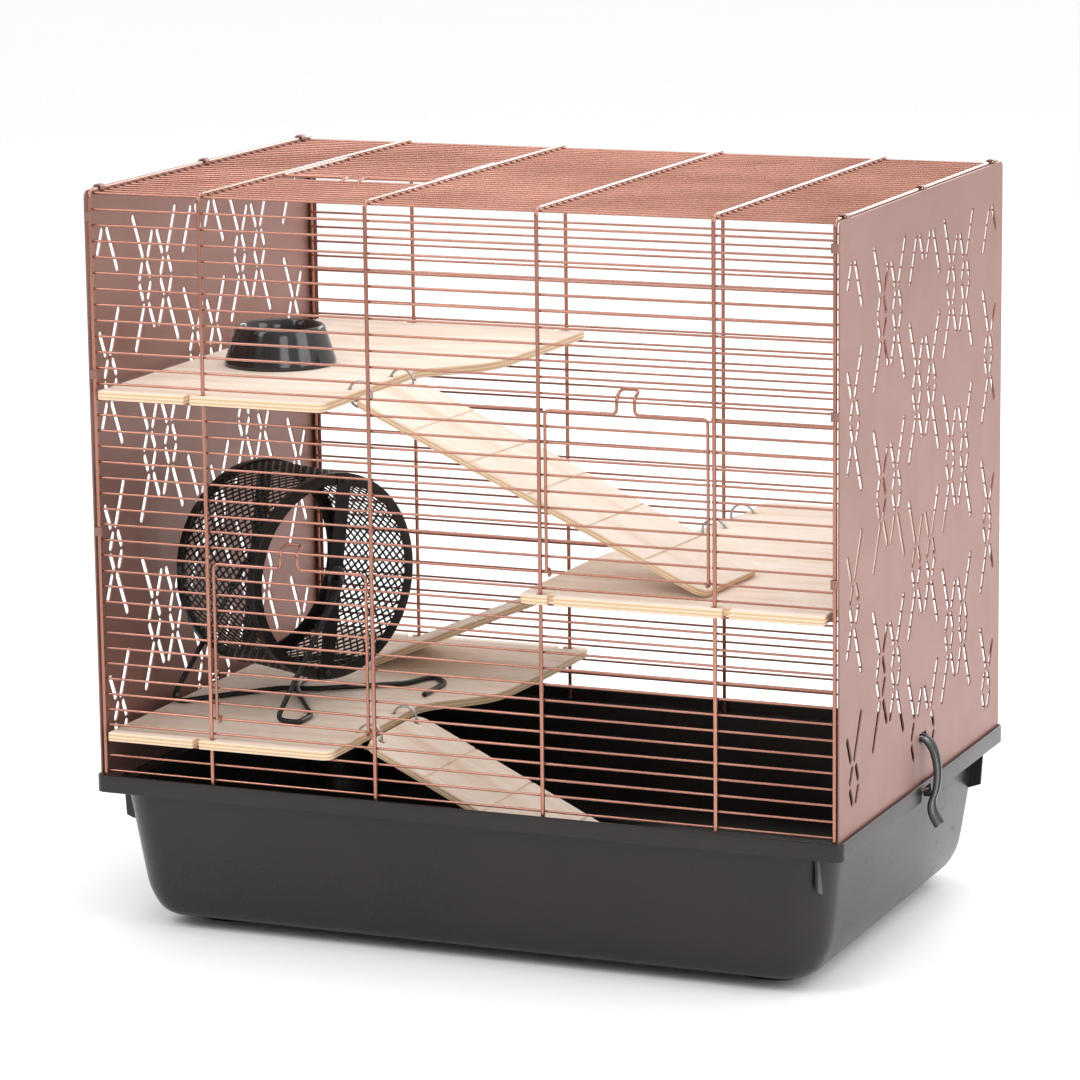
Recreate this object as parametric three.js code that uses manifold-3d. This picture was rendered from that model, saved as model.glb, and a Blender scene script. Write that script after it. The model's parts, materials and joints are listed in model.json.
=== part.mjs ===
// Two-storey wire hamster cage: a deep plastic tray, a wire top with two sheet-metal ends,
// three plywood shelves with hanging ramps, a running wheel on a wire stand and a food bowl.
// Millimetres, +Z up, +X to the right, -Y towards the front doors. The origin is the middle of
// the footprint, at the level that the feet stand on.
import * as THREE from "three";
import { mergeVertices } from "three/addons/utils/BufferGeometryUtils.js";
import Module from "manifold-3d";

const wasm = await Module();
wasm.setup();

// Driving sizes.
const GAP = 0.3; // running clearance between touching pieces
const TRAY = { length: 580, width: 380, rimTop: 118, floor: 9, thickness: 3, corner: 30 };
const SKIRT = { height: 13, thickness: 1.8 };
const CHANNEL = { depth: 9, endWidth: 12.7, sideWidth: 9.2 }; // the step inside the rim
const HOOP = { radius: 1.5, endInset: 0.9, bend: 5.5 };
const HOOP_X = [-283, -195.6, -65.1, 65.1, 195.6, 283];
const WALL_Y = 184.5; // centre of the upright wires, front and back
const ROOF_Z = TRAY.rimTop + 431.5; // centre of the roof wires
const CROSS = { half: 0.9, inset: 2.7, wallPitch: 11.54, roofPitch: 11.22 };
const FIRST_WALL_Z = TRAY.rimTop + 429.4;
const WALL_LEVELS = 37;
const ROOF_SPACES = 32;
const DOOR = { halfWidth: 60.5, spaces: 10, frameRadius: 1.1, curlRadius: 2.6, curlWire: 1.0 };
const UPPER_DOOR_LEVEL = 12; // level of the door's top wire, counted down from the roof
const LOWER_DOOR_LEVEL = 23;
const HATCH_FIRST = 11; // roof wire that the hatch's latch end replaces
const SHELF = { thickness: 6.5, edge: 191, wall: 277, narrow: 98, wide: 51, corner: 8 };
const SHELF_LEVEL = { upper: 13, right: 24, lower: 35 }; // cross wire that each shelf lies on
const RAMP = { length: 302, width: 94, thickness: 5.5, endToHole: 6, ringSpacing: 62 };
const RING = { radius: 9.5, wire: 0.9, hole: 2.4, inFromEdge: 7, dropAngle: -30 };
const PANEL = { inner: 285.7, thickness: 1.2, halfDepth: 186, slot: 2.2 };
const CLIP = { width: 15, thickness: 3, pivotX: 286.3, pivotZ: TRAY.rimTop + 33 };
const WHEEL = { x: -203, y: -24, radius: 78.4, width: 91.5, heading: 65.3, shelfGap: 17, tilt: 8.5 };
const RIM = { flange: 8.5, band: 6.5 }; // radial width of each end ring and depth of its collar
const STAND = { wire: 2, reach: 56 };
const BOWL = { x: -206, y: -35, base: 42, top: 32.5, height: 29, wall: 3 };

const MATERIAL = {
  tray: new THREE.MeshStandardMaterial({ color: 0x2a2628, roughness: 0.35, metalness: 0 }),
  copperWire: new THREE.MeshStandardMaterial({ color: 0xb4705c, roughness: 0.35, metalness: 0.7 }),
  panel: new THREE.MeshStandardMaterial({ color: 0xbb9488, roughness: 0.55, metalness: 0.3 }),
  plywood: new THREE.MeshStandardMaterial({ color: 0xead2bd, roughness: 0.75, metalness: 0 }),
  silver: new THREE.MeshStandardMaterial({ color: 0xc9c9c6, roughness: 0.25, metalness: 1 }),
  blackSteel: new THREE.MeshStandardMaterial({ color: 0x171516, roughness: 0.4, metalness: 0.4 }),
  blackPlastic: new THREE.MeshStandardMaterial({ color: 0x1b1a1b, roughness: 0.3, metalness: 0 }),
};

const cage = new THREE.Group();
const radians = THREE.MathUtils.degToRad;

// Adds one named piece to the cage, or to a group inside it.
function piece(name, geometry, material, parent = cage) {
  const mesh = new THREE.Mesh(geometry, material);
  mesh.name = name;
  parent.add(mesh);
  return mesh;
}

function toSolid(geometry) {
  const bare = geometry.clone();
  bare.deleteAttribute("normal");
  bare.deleteAttribute("uv");
  const merged = mergeVertices(bare, 1e-4);
  const vertProperties = new Float32Array(merged.attributes.position.array);
  const triVerts = new Uint32Array(merged.index.array);
  return new wasm.Manifold(new wasm.Mesh({ numProp: 3, vertProperties, triVerts }));
}

function toGeometry(solid) {
  const mesh = solid.getMesh();
  const positions = new Float32Array(mesh.numVert * 3);
  for (let i = 0; i < mesh.numVert; i++) {
    positions.set(mesh.vertProperties.subarray(i * mesh.numProp, i * mesh.numProp + 3), i * 3);
  }
  const geometry = new THREE.BufferGeometry();
  geometry.setAttribute("position", new THREE.BufferAttribute(positions, 3));
  geometry.setIndex(new THREE.BufferAttribute(new Uint32Array(mesh.triVerts), 1));
  return geometry;
}

// Joins pieces that are welded or moulded together, then cuts holes from them.
function joined(geometries, cuts = []) {
  let solid = toSolid(geometries[0]);
  for (const geometry of geometries.slice(1)) solid = solid.add(toSolid(geometry));
  for (const geometry of cuts) solid = solid.subtract(toSolid(geometry));
  return toGeometry(solid);
}

// A box given by its low and high corners.
function box(low, high) {
  const size = high.map((value, axis) => value - low[axis]);
  const geometry = new THREE.BoxGeometry(...size);
  return geometry.translate(...low.map((value, axis) => value + size[axis] / 2));
}

// A bent wire: the path's corners are rounded to the bend radius, and a section sits at every
// point of the rounded path, turned to halve the corner there.
class BentWire extends THREE.Curve {
  constructor(corners, bend, arcSteps) {
    super();
    this.points = roundedPath(corners.map((corner) => new THREE.Vector3(...corner)), bend, arcSteps);
  }
  getPoint(t) {
    return this.points[Math.round(t * (this.points.length - 1))].clone();
  }
  getSpacedPoints() {
    return this.points.map((point) => point.clone());
  }
  getTangentAt(u) {
    const last = this.points.length - 1;
    const at = Math.round(u * last);
    const before = this.points[Math.max(at - 1, 0)];
    const here = this.points[at];
    const after = this.points[Math.min(at + 1, last)];
    const into = here.clone().sub(before).normalize();
    const out = after.clone().sub(here).normalize();
    return into.add(out).normalize();
  }
}

function roundedPath(corners, bend, arcSteps) {
  const path = [corners[0]];
  for (let i = 1; i < corners.length - 1; i++) {
    const into = corners[i].clone().sub(corners[i - 1]);
    const out = corners[i + 1].clone().sub(corners[i]);
    const angle = into.angleTo(out);
    const reach = Math.min(bend * Math.tan(angle / 2), into.length() / 2.1, out.length() / 2.1);
    const start = corners[i].clone().addScaledVector(into.normalize(), -reach);
    const end = corners[i].clone().addScaledVector(out.normalize(), reach);
    const arc = new THREE.QuadraticBezierCurve3(start, corners[i], end);
    path.push(...arc.getPoints(arcSteps));
  }
  path.push(corners[corners.length - 1]);
  return path;
}

function wire(corners, radius, { bend = 5, sides = 8, arcSteps = 3 } = {}) {
  const path = new BentWire(corners, bend, arcSteps);
  const section = new THREE.Shape();
  for (let i = 0; i < sides; i++) {
    const angle = ((i + 0.5) * 2 * Math.PI) / sides;
    const point = [radius * Math.cos(angle), radius * Math.sin(angle)];
    if (i === 0) section.moveTo(...point);
    else section.lineTo(...point);
  }
  section.closePath();
  const options = { steps: path.points.length - 1, extrudePath: path, bevelEnabled: false };
  return new THREE.ExtrudeGeometry(section, options);
}

// Height of a cross wire on the front and back walls, and depth of one on the roof.
function wallLevel(level) {
  return FIRST_WALL_Z - level * CROSS.wallPitch;
}
function roofLevel(index) {
  return (index - ROOF_SPACES / 2) * CROSS.roofPitch;
}
const CROSS_Y = WALL_Y - CROSS.inset;
const CROSS_ROOF_Z = ROOF_Z - CROSS.inset;
const WIRE_BOTTOM = TRAY.rimTop - CHANNEL.depth + 1;

// ---- Tray: nested rounded rectangles from the base, up the outside, over the rim and down inside.
function trayRing(halfX, halfY, corner, z) {
  const arcPoints = 5;
  const ring = [];
  const centres = [[1, 1], [-1, 1], [-1, -1], [1, -1]];
  centres.forEach(([sx, sy], quarter) => {
    for (let i = 0; i <= arcPoints; i++) {
      const angle = (quarter + i / arcPoints) * (Math.PI / 2);
      const x = sx * (halfX - corner) + corner * Math.cos(angle);
      const y = sy * (halfY - corner) + corner * Math.sin(angle);
      ring.push([x, y, z]);
    }
  });
  return ring;
}

function trayShell() {
  const { rimTop, floor, thickness, corner } = TRAY;
  const halfX = TRAY.length / 2;
  const halfY = TRAY.width / 2;
  const channelOut = SKIRT.thickness;
  const endIn = channelOut + CHANNEL.endWidth;
  const sideIn = channelOut + CHANNEL.sideWidth;
  // Each row is: inset of the end walls, inset of the long walls, corner radius, height.
  const outside = [
    [50, 30, 18, floor],
    [34, 21, 20, floor + 4],
    [24, 17, 24, floor + 14],
    [20, 14.5, 27, floor + 30],
    [endIn - thickness, sideIn - thickness, corner, rimTop - CHANNEL.depth - thickness],
    [channelOut, channelOut, 5, rimTop - CHANNEL.depth - thickness],
    [channelOut, channelOut, 5, rimTop - SKIRT.height],
    [0, 0, 7, rimTop - SKIRT.height],
    [0, 0, 7, rimTop],
  ];
  const inside = [
    [channelOut, channelOut, 5, rimTop],
    [channelOut, channelOut, 5, rimTop - CHANNEL.depth],
    [endIn, sideIn, corner - thickness, rimTop - CHANNEL.depth],
    [20 + thickness, 14.5 + thickness, 24, floor + 31],
    [24 + thickness, 17 + thickness, 22, floor + 16],
    [34 + thickness, 21 + thickness, 18, floor + 7],
    [52, 32, 16, floor + thickness],
  ];
  const rings = [...outside, ...inside].map(([insetX, insetY, radius, z]) =>
    trayRing(halfX - insetX, halfY - insetY, radius, z),
  );
  const perRing = rings[0].length;
  const positions = rings.flat(2);
  const index = [];
  for (let r = 0; r < rings.length - 1; r++) {
    for (let i = 0; i < perRing; i++) {
      const a = r * perRing + i;
      const b = r * perRing + ((i + 1) % perRing);
      index.push(a, b, b + perRing, a, b + perRing, a + perRing);
    }
  }
  const top = (rings.length - 1) * perRing;
  for (let i = 1; i < perRing - 1; i++) {
    index.push(0, i + 1, i); // underside
    index.push(top, top + i, top + i + 1); // inner floor
  }
  const geometry = new THREE.BufferGeometry();
  geometry.setAttribute("position", new THREE.Float32BufferAttribute(positions, 3));
  geometry.setIndex(index);
  return geometry;
}

// A thin upright web under the rim, its outer edge at `out`, running back into the wall.
function rimWeb(out, along, depth, turn) {
  const web = new THREE.Shape();
  web.moveTo(out, 0);
  web.lineTo(out - depth, 0);
  web.lineTo(out - depth - 4, -32);
  web.lineTo(out - 2, -28);
  web.closePath();
  const geometry = new THREE.ExtrudeGeometry(web, { depth: 2, bevelEnabled: false });
  geometry.rotateX(Math.PI / 2);
  geometry.translate(0, along, TRAY.rimTop - SKIRT.height + 2);
  return geometry.rotateZ(turn);
}

function makeTray() {
  const additions = [];
  const cuts = [];
  for (const sideX of [-1, 1]) {
    for (const sideY of [-1, 1]) {
      const foot = new THREE.CylinderGeometry(19, 17, TRAY.floor + 1, 12).rotateX(Math.PI / 2);
      foot.scale(1.25, 0.8, 1);
      foot.translate(sideX * 214, sideY * 128, (TRAY.floor + 1) / 2);
      additions.push(foot);
    }
    // The pocket that each clip's arm snaps into.
    const reach = [TRAY.length / 2 - 7, TRAY.length / 2 + 4].map((x) => x * sideX);
    const low = [Math.min(...reach), -CLIP.width / 2 - 2, TRAY.rimTop - SKIRT.height - 2];
    const high = [Math.max(...reach), CLIP.width / 2 + 2, TRAY.rimTop - 3];
    cuts.push(box(low, high));
  }
  for (const half of [0, Math.PI]) {
    additions.push(rimWeb(TRAY.length / 2 - 4, 152, 9.5, half));
    additions.push(rimWeb(TRAY.width / 2 - 10, 268, 8, half - Math.PI / 2));
  }
  piece("tray", joined([trayShell(), ...additions], cuts), MATERIAL.tray);
}

// ---- Wire walls. Cross wires are welded to the outermost uprights; a bay that holds a door keeps
// its cross wires only above and below the opening.
function crossWires(levels, doorBay, place) {
  const bars = [];
  const [left, right] = [HOOP_X[0], HOOP_X[5]];
  for (const level of levels) {
    if (!doorBay(level)) {
      bars.push(place(level, left, right));
      continue;
    }
    const bay = doorBay(level);
    bars.push(place(level, left, HOOP_X[bay] + HOOP.radius - 0.5 - 2 * HOOP.radius));
    bars.push(place(level, HOOP_X[bay + 1] - HOOP.radius + 0.5 + 2 * HOOP.radius, right));
  }
  return bars;
}

function wallBar(side) {
  const y = side * CROSS_Y;
  return (level, from, to) => {
    const z = wallLevel(level);
    return box([from, y - CROSS.half, z - CROSS.half], [to, y + CROSS.half, z + CROSS.half]);
  };
}

function roofBar(index, from, to) {
  const y = roofLevel(index);
  const low = [from, y - CROSS.half, CROSS_ROOF_Z - CROSS.half];
  return box(low, [to, y + CROSS.half, CROSS_ROOF_Z + CROSS.half]);
}

const inDoor = (level, first) => level >= first && level < first + DOOR.spaces;

function frontDoorBay(level) {
  if (inDoor(level, UPPER_DOOR_LEVEL)) return 3;
  if (inDoor(level, LOWER_DOOR_LEVEL)) return 1;
  return 0;
}

function roofDoorBay(index) {
  return inDoor(index, HATCH_FIRST) ? 1 : 0;
}

function makeWireTop() {
  const levels = Array.from({ length: WALL_LEVELS }, (_, i) => i + 1);
  const bendStart = ROOF_Z - HOOP.bend - GAP;
  const endY = WALL_Y - HOOP.endInset;
  const endTop = ROOF_Z - HOOP.endInset;
  const endUprights = (side) =>
    [HOOP_X[0], HOOP_X[5]].map((x) =>
      wire([[x, side * endY, WIRE_BOTTOM], [x, side * endY, bendStart]], HOOP.radius),
    );
  const front = [...endUprights(-1), ...crossWires(levels, frontDoorBay, wallBar(-1))];
  piece("front_grid", joined(front), MATERIAL.copperWire);
  const rear = [...endUprights(1), ...crossWires(levels, () => 0, wallBar(1))];
  piece("rear_grid", joined(rear), MATERIAL.copperWire);

  const roofWires = Array.from({ length: ROOF_SPACES + 1 }, (_, i) => i);
  const roofPath = (x) => [
    [x, -endY, bendStart + 2 * GAP],
    [x, -endY, endTop],
    [x, endY, endTop],
    [x, endY, bendStart + 2 * GAP],
  ];
  const roofEnds = [HOOP_X[0], HOOP_X[5]].map((x) =>
    wire(roofPath(x), HOOP.radius, { bend: HOOP.bend }),
  );
  const roof = [...roofEnds, ...crossWires(roofWires, roofDoorBay, roofBar)];
  piece("roof_grid", joined(roof), MATERIAL.copperWire);

  HOOP_X.slice(1, 5).forEach((x, i) => {
    const path = [
      [x, -WALL_Y, WIRE_BOTTOM],
      [x, -WALL_Y, ROOF_Z],
      [x, WALL_Y, ROOF_Z],
      [x, WALL_Y, WIRE_BOTTOM],
    ];
    piece(`hoop_${i + 1}`, wire(path, HOOP.radius, { bend: HOOP.bend }), MATERIAL.copperWire);
  });
}

// ---- Doors, drawn about the hinge wire: +Z towards the latch, -Y outwards.
function doorGeometry(pitch) {
  const height = DOOR.spaces * pitch;
  const frameY = -DOOR.curlRadius;
  const half = DOOR.halfWidth;
  const frame = wire(
    [[-half, frameY, 0], [-half, frameY, height], [half, frameY, height], [half, frameY, 0]],
    DOOR.frameRadius,
    { bend: 7 },
  );
  const postX = 6.5;
  const over = height + 15.5;
  const latch = wire(
    [
      [-postX, frameY, height],
      [-postX, frameY, over],
      [-postX, frameY + 8, over + 1],
      [postX, frameY + 8, over + 1],
      [postX, frameY, over],
      [postX, frameY, height],
    ],
    DOOR.frameRadius,
    { bend: 3.5, arcSteps: 2 },
  );
  const curls = [-half, half].map((x) =>
    new THREE.TorusGeometry(DOOR.curlRadius, DOOR.curlWire, 6, 12).rotateY(Math.PI / 2).translate(x, 0, 0),
  );
  const barY = frameY + DOOR.frameRadius + 0.5;
  const bars = [];
  for (let i = 1; i < DOOR.spaces; i++) {
    const z = i * pitch;
    const low = [-half - 1, barY - CROSS.half, z - CROSS.half];
    bars.push(box(low, [half + 1, barY + CROSS.half, z + CROSS.half]));
  }
  return joined([frame, latch, ...curls, ...bars]);
}

function makeDoors() {
  const bayCentre = (bay) => (HOOP_X[bay] + HOOP_X[bay + 1]) / 2;
  const wallDoor = (name, bay, level) => {
    const door = piece(name, doorGeometry(CROSS.wallPitch), MATERIAL.copperWire);
    door.position.set(bayCentre(bay), -CROSS_Y, wallLevel(level + DOOR.spaces));
  };
  wallDoor("upper_front_door", 3, UPPER_DOOR_LEVEL);
  wallDoor("lower_front_door", 1, LOWER_DOOR_LEVEL);
  const hatchGeometry = doorGeometry(CROSS.roofPitch).rotateZ(Math.PI);
  const hatch = piece("roof_hatch", hatchGeometry, MATERIAL.copperWire);
  hatch.position.set(bayCentre(1), roofLevel(HATCH_FIRST + DOOR.spaces), CROSS_ROOF_Z);
  hatch.rotation.x = Math.PI / 2;
}

// ---- Side panels: sheet metal with slits, small tabs folded round the end wires.
function slit(y, z, length, lean) {
  const cut = new THREE.BoxGeometry(8, PANEL.slot, length);
  return cut.rotateX(radians(lean)).translate(0, y, z);
}

// Chevrons in staggered columns; every other one is crossed by its mirror image.
function panelSlits() {
  const slits = [];
  const lean = 14;
  const length = 34;
  const spread = (length / 2) * Math.sin(radians(lean)) + 2.2;
  const columns = 7;
  const rows = 6;
  for (let column = 0; column < columns; column++) {
    const y = (column - (columns - 1) / 2) * 48 + 4;
    for (let row = 0; row < rows; row++) {
      if ((column * 2 + row * 3) % 5 === 0) continue;
      const z = TRAY.rimTop + 66 + row * 61 + (column % 2) * 26;
      slits.push(slit(y - spread, z, length, lean), slit(y + spread, z, length, -lean));
    }
  }
  return slits;
}

function panelTabs() {
  const tabs = [];
  const outer = PANEL.inner + PANEL.thickness;
  const wrap = HOOP.radius + GAP;
  for (const side of [-1, 1]) {
    for (const z of [TRAY.rimTop + 181, TRAY.rimTop + 298, TRAY.rimTop + 413]) {
      const y = side * (WALL_Y + wrap);
      tabs.push(box([HOOP_X[5] - 1, Math.min(y, y + side), z - 5], [outer, Math.max(y, y + side), z + 5]));
      const web = [side * (PANEL.halfDepth - 1), y + side];
      tabs.push(box([PANEL.inner, Math.min(...web), z - 5], [outer, Math.max(...web), z + 5]));
    }
  }
  const top = ROOF_Z + wrap;
  for (const y of [-168, 0, 168]) {
    tabs.push(box([HOOP_X[5] - 1, y - 5, top], [outer, y + 5, top + 1]));
    tabs.push(box([PANEL.inner, y - 5, ROOF_Z - 1], [outer, y + 5, top + 1]));
  }
  return tabs;
}

function makePanels() {
  const outer = PANEL.inner + PANEL.thickness;
  const sheet = box([PANEL.inner, -PANEL.halfDepth, WIRE_BOTTOM], [outer, PANEL.halfDepth, ROOF_Z]);
  const clipSlot = box(
    [PANEL.inner - 1, -CLIP.width / 2 - 1, CLIP.pivotZ - 3],
    [outer + 1, CLIP.width / 2 + 1, CLIP.pivotZ + 3],
  );
  const slits = panelSlits().map((cut) => cut.translate(PANEL.inner, 0, 0));
  const right = joined([sheet, ...panelTabs()], [clipSlot, ...slits]);
  piece("right_panel", right, MATERIAL.panel);
  const left = piece("left_panel", right.clone(), MATERIAL.panel);
  left.rotation.z = Math.PI;
}

// ---- Clips: an arm hung in a slot of the panel, bowed over the rim and snapped in its pocket.
function makeClips() {
  const arm = new THREE.Shape();
  const outside = new THREE.SplineCurve([
    new THREE.Vector2(1.6, 1.4),
    new THREE.Vector2(9.5, -8),
    new THREE.Vector2(14.2, -24),
    new THREE.Vector2(12.6, -40),
    new THREE.Vector2(9.4, -49),
    new THREE.Vector2(12.4, -59),
    new THREE.Vector2(15.4, -64),
  ]);
  const inside = new THREE.SplineCurve([
    new THREE.Vector2(12.8, -65.6),
    new THREE.Vector2(9.2, -60),
    new THREE.Vector2(6.2, -49.5),
    new THREE.Vector2(9.4, -39),
    new THREE.Vector2(11, -24),
    new THREE.Vector2(6.8, -9.4),
    new THREE.Vector2(1.6, -1.4),
  ]);
  const outline = [...outside.getPoints(14), ...inside.getPoints(14)];
  outline.push(new THREE.Vector2(-2.6, -1.4), new THREE.Vector2(-2.6, 1.4));
  arm.setFromPoints(outline);
  const bow = new THREE.ExtrudeGeometry(arm, { depth: CLIP.width, bevelEnabled: false });
  bow.rotateX(Math.PI / 2).translate(0, CLIP.width / 2, 0);
  const inset = CLIP.width / 2 - 2;
  const catchTooth = box([2.2, -inset, -43], [11, inset, -39]);
  const geometry = joined([bow, catchTooth]);
  for (const [name, turn] of [["right_clip", 0], ["left_clip", Math.PI]]) {
    const holder = new THREE.Group();
    holder.rotation.z = turn;
    cage.add(holder);
    const clip = piece(name, geometry.clone(), MATERIAL.blackPlastic, holder);
    clip.position.set(CLIP.pivotX, 0, CLIP.pivotZ);
  }
}

// ---- Shelves: one outline, used turned half round on the right.
function shelfBottom(level) {
  return wallLevel(level) + CROSS.half + GAP;
}

function shelfOutline() {
  const { edge, wall, narrow, wide, corner } = SHELF;
  const outline = new THREE.Shape();
  outline.moveTo(-wall, -edge);
  outline.lineTo(-narrow - corner, -edge);
  outline.quadraticCurveTo(-narrow, -edge, -narrow, -edge + corner);
  outline.lineTo(-narrow, -42);
  outline.bezierCurveTo(-narrow, -8, -wide - 7, -6, -wide - 4, 40);
  outline.quadraticCurveTo(-wide, 90, -wide, edge - corner);
  outline.quadraticCurveTo(-wide, edge, -wide - corner, edge);
  outline.lineTo(-wall, edge);
  outline.closePath();
  return outline;
}

// The hooked notch that lets the shelf slide in past an upright.
function hookNotch(x, side) {
  const depth = SHELF.thickness + 2;
  const mouthX = x - 10;
  const inner = side * (WALL_Y - HOOP.radius - 1.2);
  const outer = side * (WALL_Y + HOOP.radius + 1.2);
  const ys = (a, b) => [Math.min(a, b), Math.max(a, b)];
  const [m0, m1] = ys(side * (SHELF.edge + 1), inner);
  const [s0, s1] = ys(outer, inner);
  return [
    box([mouthX - 2.7, m0, -1], [mouthX + 2.7, m1, depth]),
    box([mouthX - 2.7, s0, -1], [x + 2.7, s1, depth]),
  ];
}

function ringHole(x, y) {
  const hole = new THREE.CylinderGeometry(RING.hole, RING.hole, SHELF.thickness + 4, 8);
  return hole.rotateX(Math.PI / 2).translate(x, y, SHELF.thickness / 2);
}

function shelfGeometry(ringPlaces) {
  const slab = new THREE.ExtrudeGeometry(shelfOutline(), {
    depth: SHELF.thickness,
    bevelEnabled: false,
    curveSegments: 8,
  });
  const notches = [
    ...hookNotch(HOOP_X[1], -1),
    ...hookNotch(HOOP_X[1], 1),
    ...hookNotch(HOOP_X[2], 1),
  ];
  return joined([slab], [...notches, ...ringPlaces.map(([x, y]) => ringHole(x, y))]);
}

// ---- Ramps hang from the shelf's edge on two open rings. Everything about a ramp is drawn about
// its rings' own axis, with +X down the ramp, then turned to its heading.
const RAMPS = {
  upper: { from: "upper", edge: -SHELF.narrow, y: -96, heading: -4.5, landing: null },
  lower: { from: "lower", edge: -SHELF.narrow, y: -96, heading: 0, landing: null },
  middle: { from: "right", edge: 98, y: 113, heading: 180, landing: null },
};
RAMPS.upper.landing = shelfBottom(SHELF_LEVEL.right) + SHELF.thickness;
RAMPS.lower.landing = TRAY.floor + TRAY.thickness;
RAMPS.middle.landing = shelfBottom(SHELF_LEVEL.lower) + SHELF.thickness;

function rampHinge(ramp) {
  const outward = Math.cos(radians(ramp.heading)) > 0 ? 1 : -1;
  const x = ramp.edge + outward * (RING.radius - RING.inFromEdge);
  const z = shelfBottom(SHELF_LEVEL[ramp.from]) + SHELF.thickness / 2;
  return new THREE.Vector3(x, ramp.y, z);
}

// Where the ramp's rings pass through its shelf, in the shelf's own left-hand frame.
function ringPlaces(ramp, turned) {
  const hinge = rampHinge(ramp);
  const heading = radians(ramp.heading);
  return [-1, 1].map((side) => {
    const along = -RING.radius;
    const across = (side * RAMP.ringSpacing) / 2;
    const x = hinge.x + along * Math.cos(heading) - across * Math.sin(heading);
    const y = hinge.y + along * Math.sin(heading) + across * Math.cos(heading);
    return turned ? [-x, -y] : [x, y];
  });
}

function makeRamp(name, ramp) {
  const hinge = rampHinge(ramp);
  const drop = radians(RING.dropAngle);
  const holeX = RING.radius * Math.cos(drop);
  const holeZ = RING.radius * Math.sin(drop);
  const below = RAMP.length - RAMP.endToHole;
  const fall = hinge.z - ramp.landing - GAP + holeZ;
  const half = RAMP.thickness / 2;
  const slope = Math.asin(fall / Math.hypot(below, half)) - Math.atan2(half, below);
  const grooves = [];
  for (let i = 1; i <= 5; i++) {
    const x = i * 50 - 4;
    grooves.push(box([x, -RAMP.width, half - 1], [x + 1.6, RAMP.width, half + 1]));
  }
  const outline = new THREE.Shape();
  const corner = 9;
  const [left, right, side] = [-RAMP.endToHole, below, RAMP.width / 2];
  outline.moveTo(left + corner, -side);
  outline.lineTo(right - corner, -side);
  outline.quadraticCurveTo(right, -side, right, -side + corner);
  outline.lineTo(right, side - corner);
  outline.quadraticCurveTo(right, side, right - corner, side);
  outline.lineTo(left + corner, side);
  outline.quadraticCurveTo(left, side, left, side - corner);
  outline.lineTo(left, -side + corner);
  outline.quadraticCurveTo(left, -side, left + corner, -side);
  const board = new THREE.ExtrudeGeometry(outline, {
    depth: RAMP.thickness,
    bevelEnabled: false,
    curveSegments: 4,
  }).translate(0, 0, -half);
  const holes = [-1, 1].map((hand) =>
    new THREE.CylinderGeometry(RING.hole, RING.hole, 12, 8)
      .rotateX(Math.PI / 2)
      .translate(0, (hand * RAMP.ringSpacing) / 2, 0),
  );
  const group = new THREE.Group();
  group.position.copy(hinge);
  group.rotation.z = radians(ramp.heading);
  cage.add(group);
  const mesh = piece(`${name}_ramp`, joined([board], [...holes, ...grooves]), MATERIAL.plywood, group);
  mesh.position.set(holeX, 0, holeZ);
  mesh.rotation.y = slope;
  for (const [hand, label] of [[-1, "front"], [1, "rear"]]) {
    const ring = new THREE.TorusGeometry(RING.radius, RING.wire, 6, 20);
    ring.rotateX(Math.PI / 2).translate(0, (hand * RAMP.ringSpacing) / 2, 0);
    piece(`${name}_ramp_${label}_ring`, ring, MATERIAL.silver, group);
  }
}

function makeShelvesAndRamps() {
  const shelf = (name, level, holes, turned) => {
    const mesh = piece(name, shelfGeometry(holes), MATERIAL.plywood);
    mesh.position.z = shelfBottom(level);
    if (turned) mesh.rotation.z = Math.PI;
  };
  shelf("upper_left_shelf", SHELF_LEVEL.upper, ringPlaces(RAMPS.upper, false), false);
  shelf("lower_left_shelf", SHELF_LEVEL.lower, ringPlaces(RAMPS.lower, false), false);
  shelf("right_shelf", SHELF_LEVEL.right, ringPlaces(RAMPS.middle, true), true);
  for (const [name, ramp] of Object.entries(RAMPS)) makeRamp(name, ramp);
}

// ---- Running wheel: mesh drum between two flanged rims, a flat bar across each face, turning on
// the inward ends of a wire stand. Drawn with the axle along +X, then turned to its heading.
function rimGeometry(side) {
  const { radius, width } = WHEEL;
  const face = width / 2;
  const profile = [
    [radius - RIM.flange, face],
    [radius, face],
    [radius, face - RIM.band],
    [radius - 1, face - RIM.band],
    [radius - 1, face - 1],
    [radius - RIM.flange, face - 1],
    [radius - RIM.flange, face],
  ];
  const points = profile.map(([r, x]) => new THREE.Vector2(r, x)).reverse();
  const rim = new THREE.LatheGeometry(points, 40).rotateZ(-Math.PI / 2);
  return side > 0 ? rim : rim.rotateZ(Math.PI);
}

function drumGeometry() {
  const radius = WHEEL.radius - 1 - GAP;
  const half = WHEEL.width / 2 - 1 - GAP;
  const profile = [[radius - 0.8, -half], [radius, -half], [radius, half], [radius - 0.8, half], [radius - 0.8, -half]];
  const points = profile.map(([r, x]) => new THREE.Vector2(r, x));
  const band = new THREE.LatheGeometry(points, 40).rotateZ(-Math.PI / 2);
  const cuts = [];
  const around = 20;
  for (let i = 0; i < around; i++) {
    const angle = ((i + 0.25) * 2 * Math.PI) / around;
    for (const x of [-18, 18]) {
      const cut = new THREE.CylinderGeometry(11, 11, 8, 4).rotateY(Math.PI / 4);
      cuts.push(cut.scale(1.2, 1, 0.8).translate(x, radius, 0).rotateX(angle));
    }
  }
  return joined([band], cuts);
}

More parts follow.
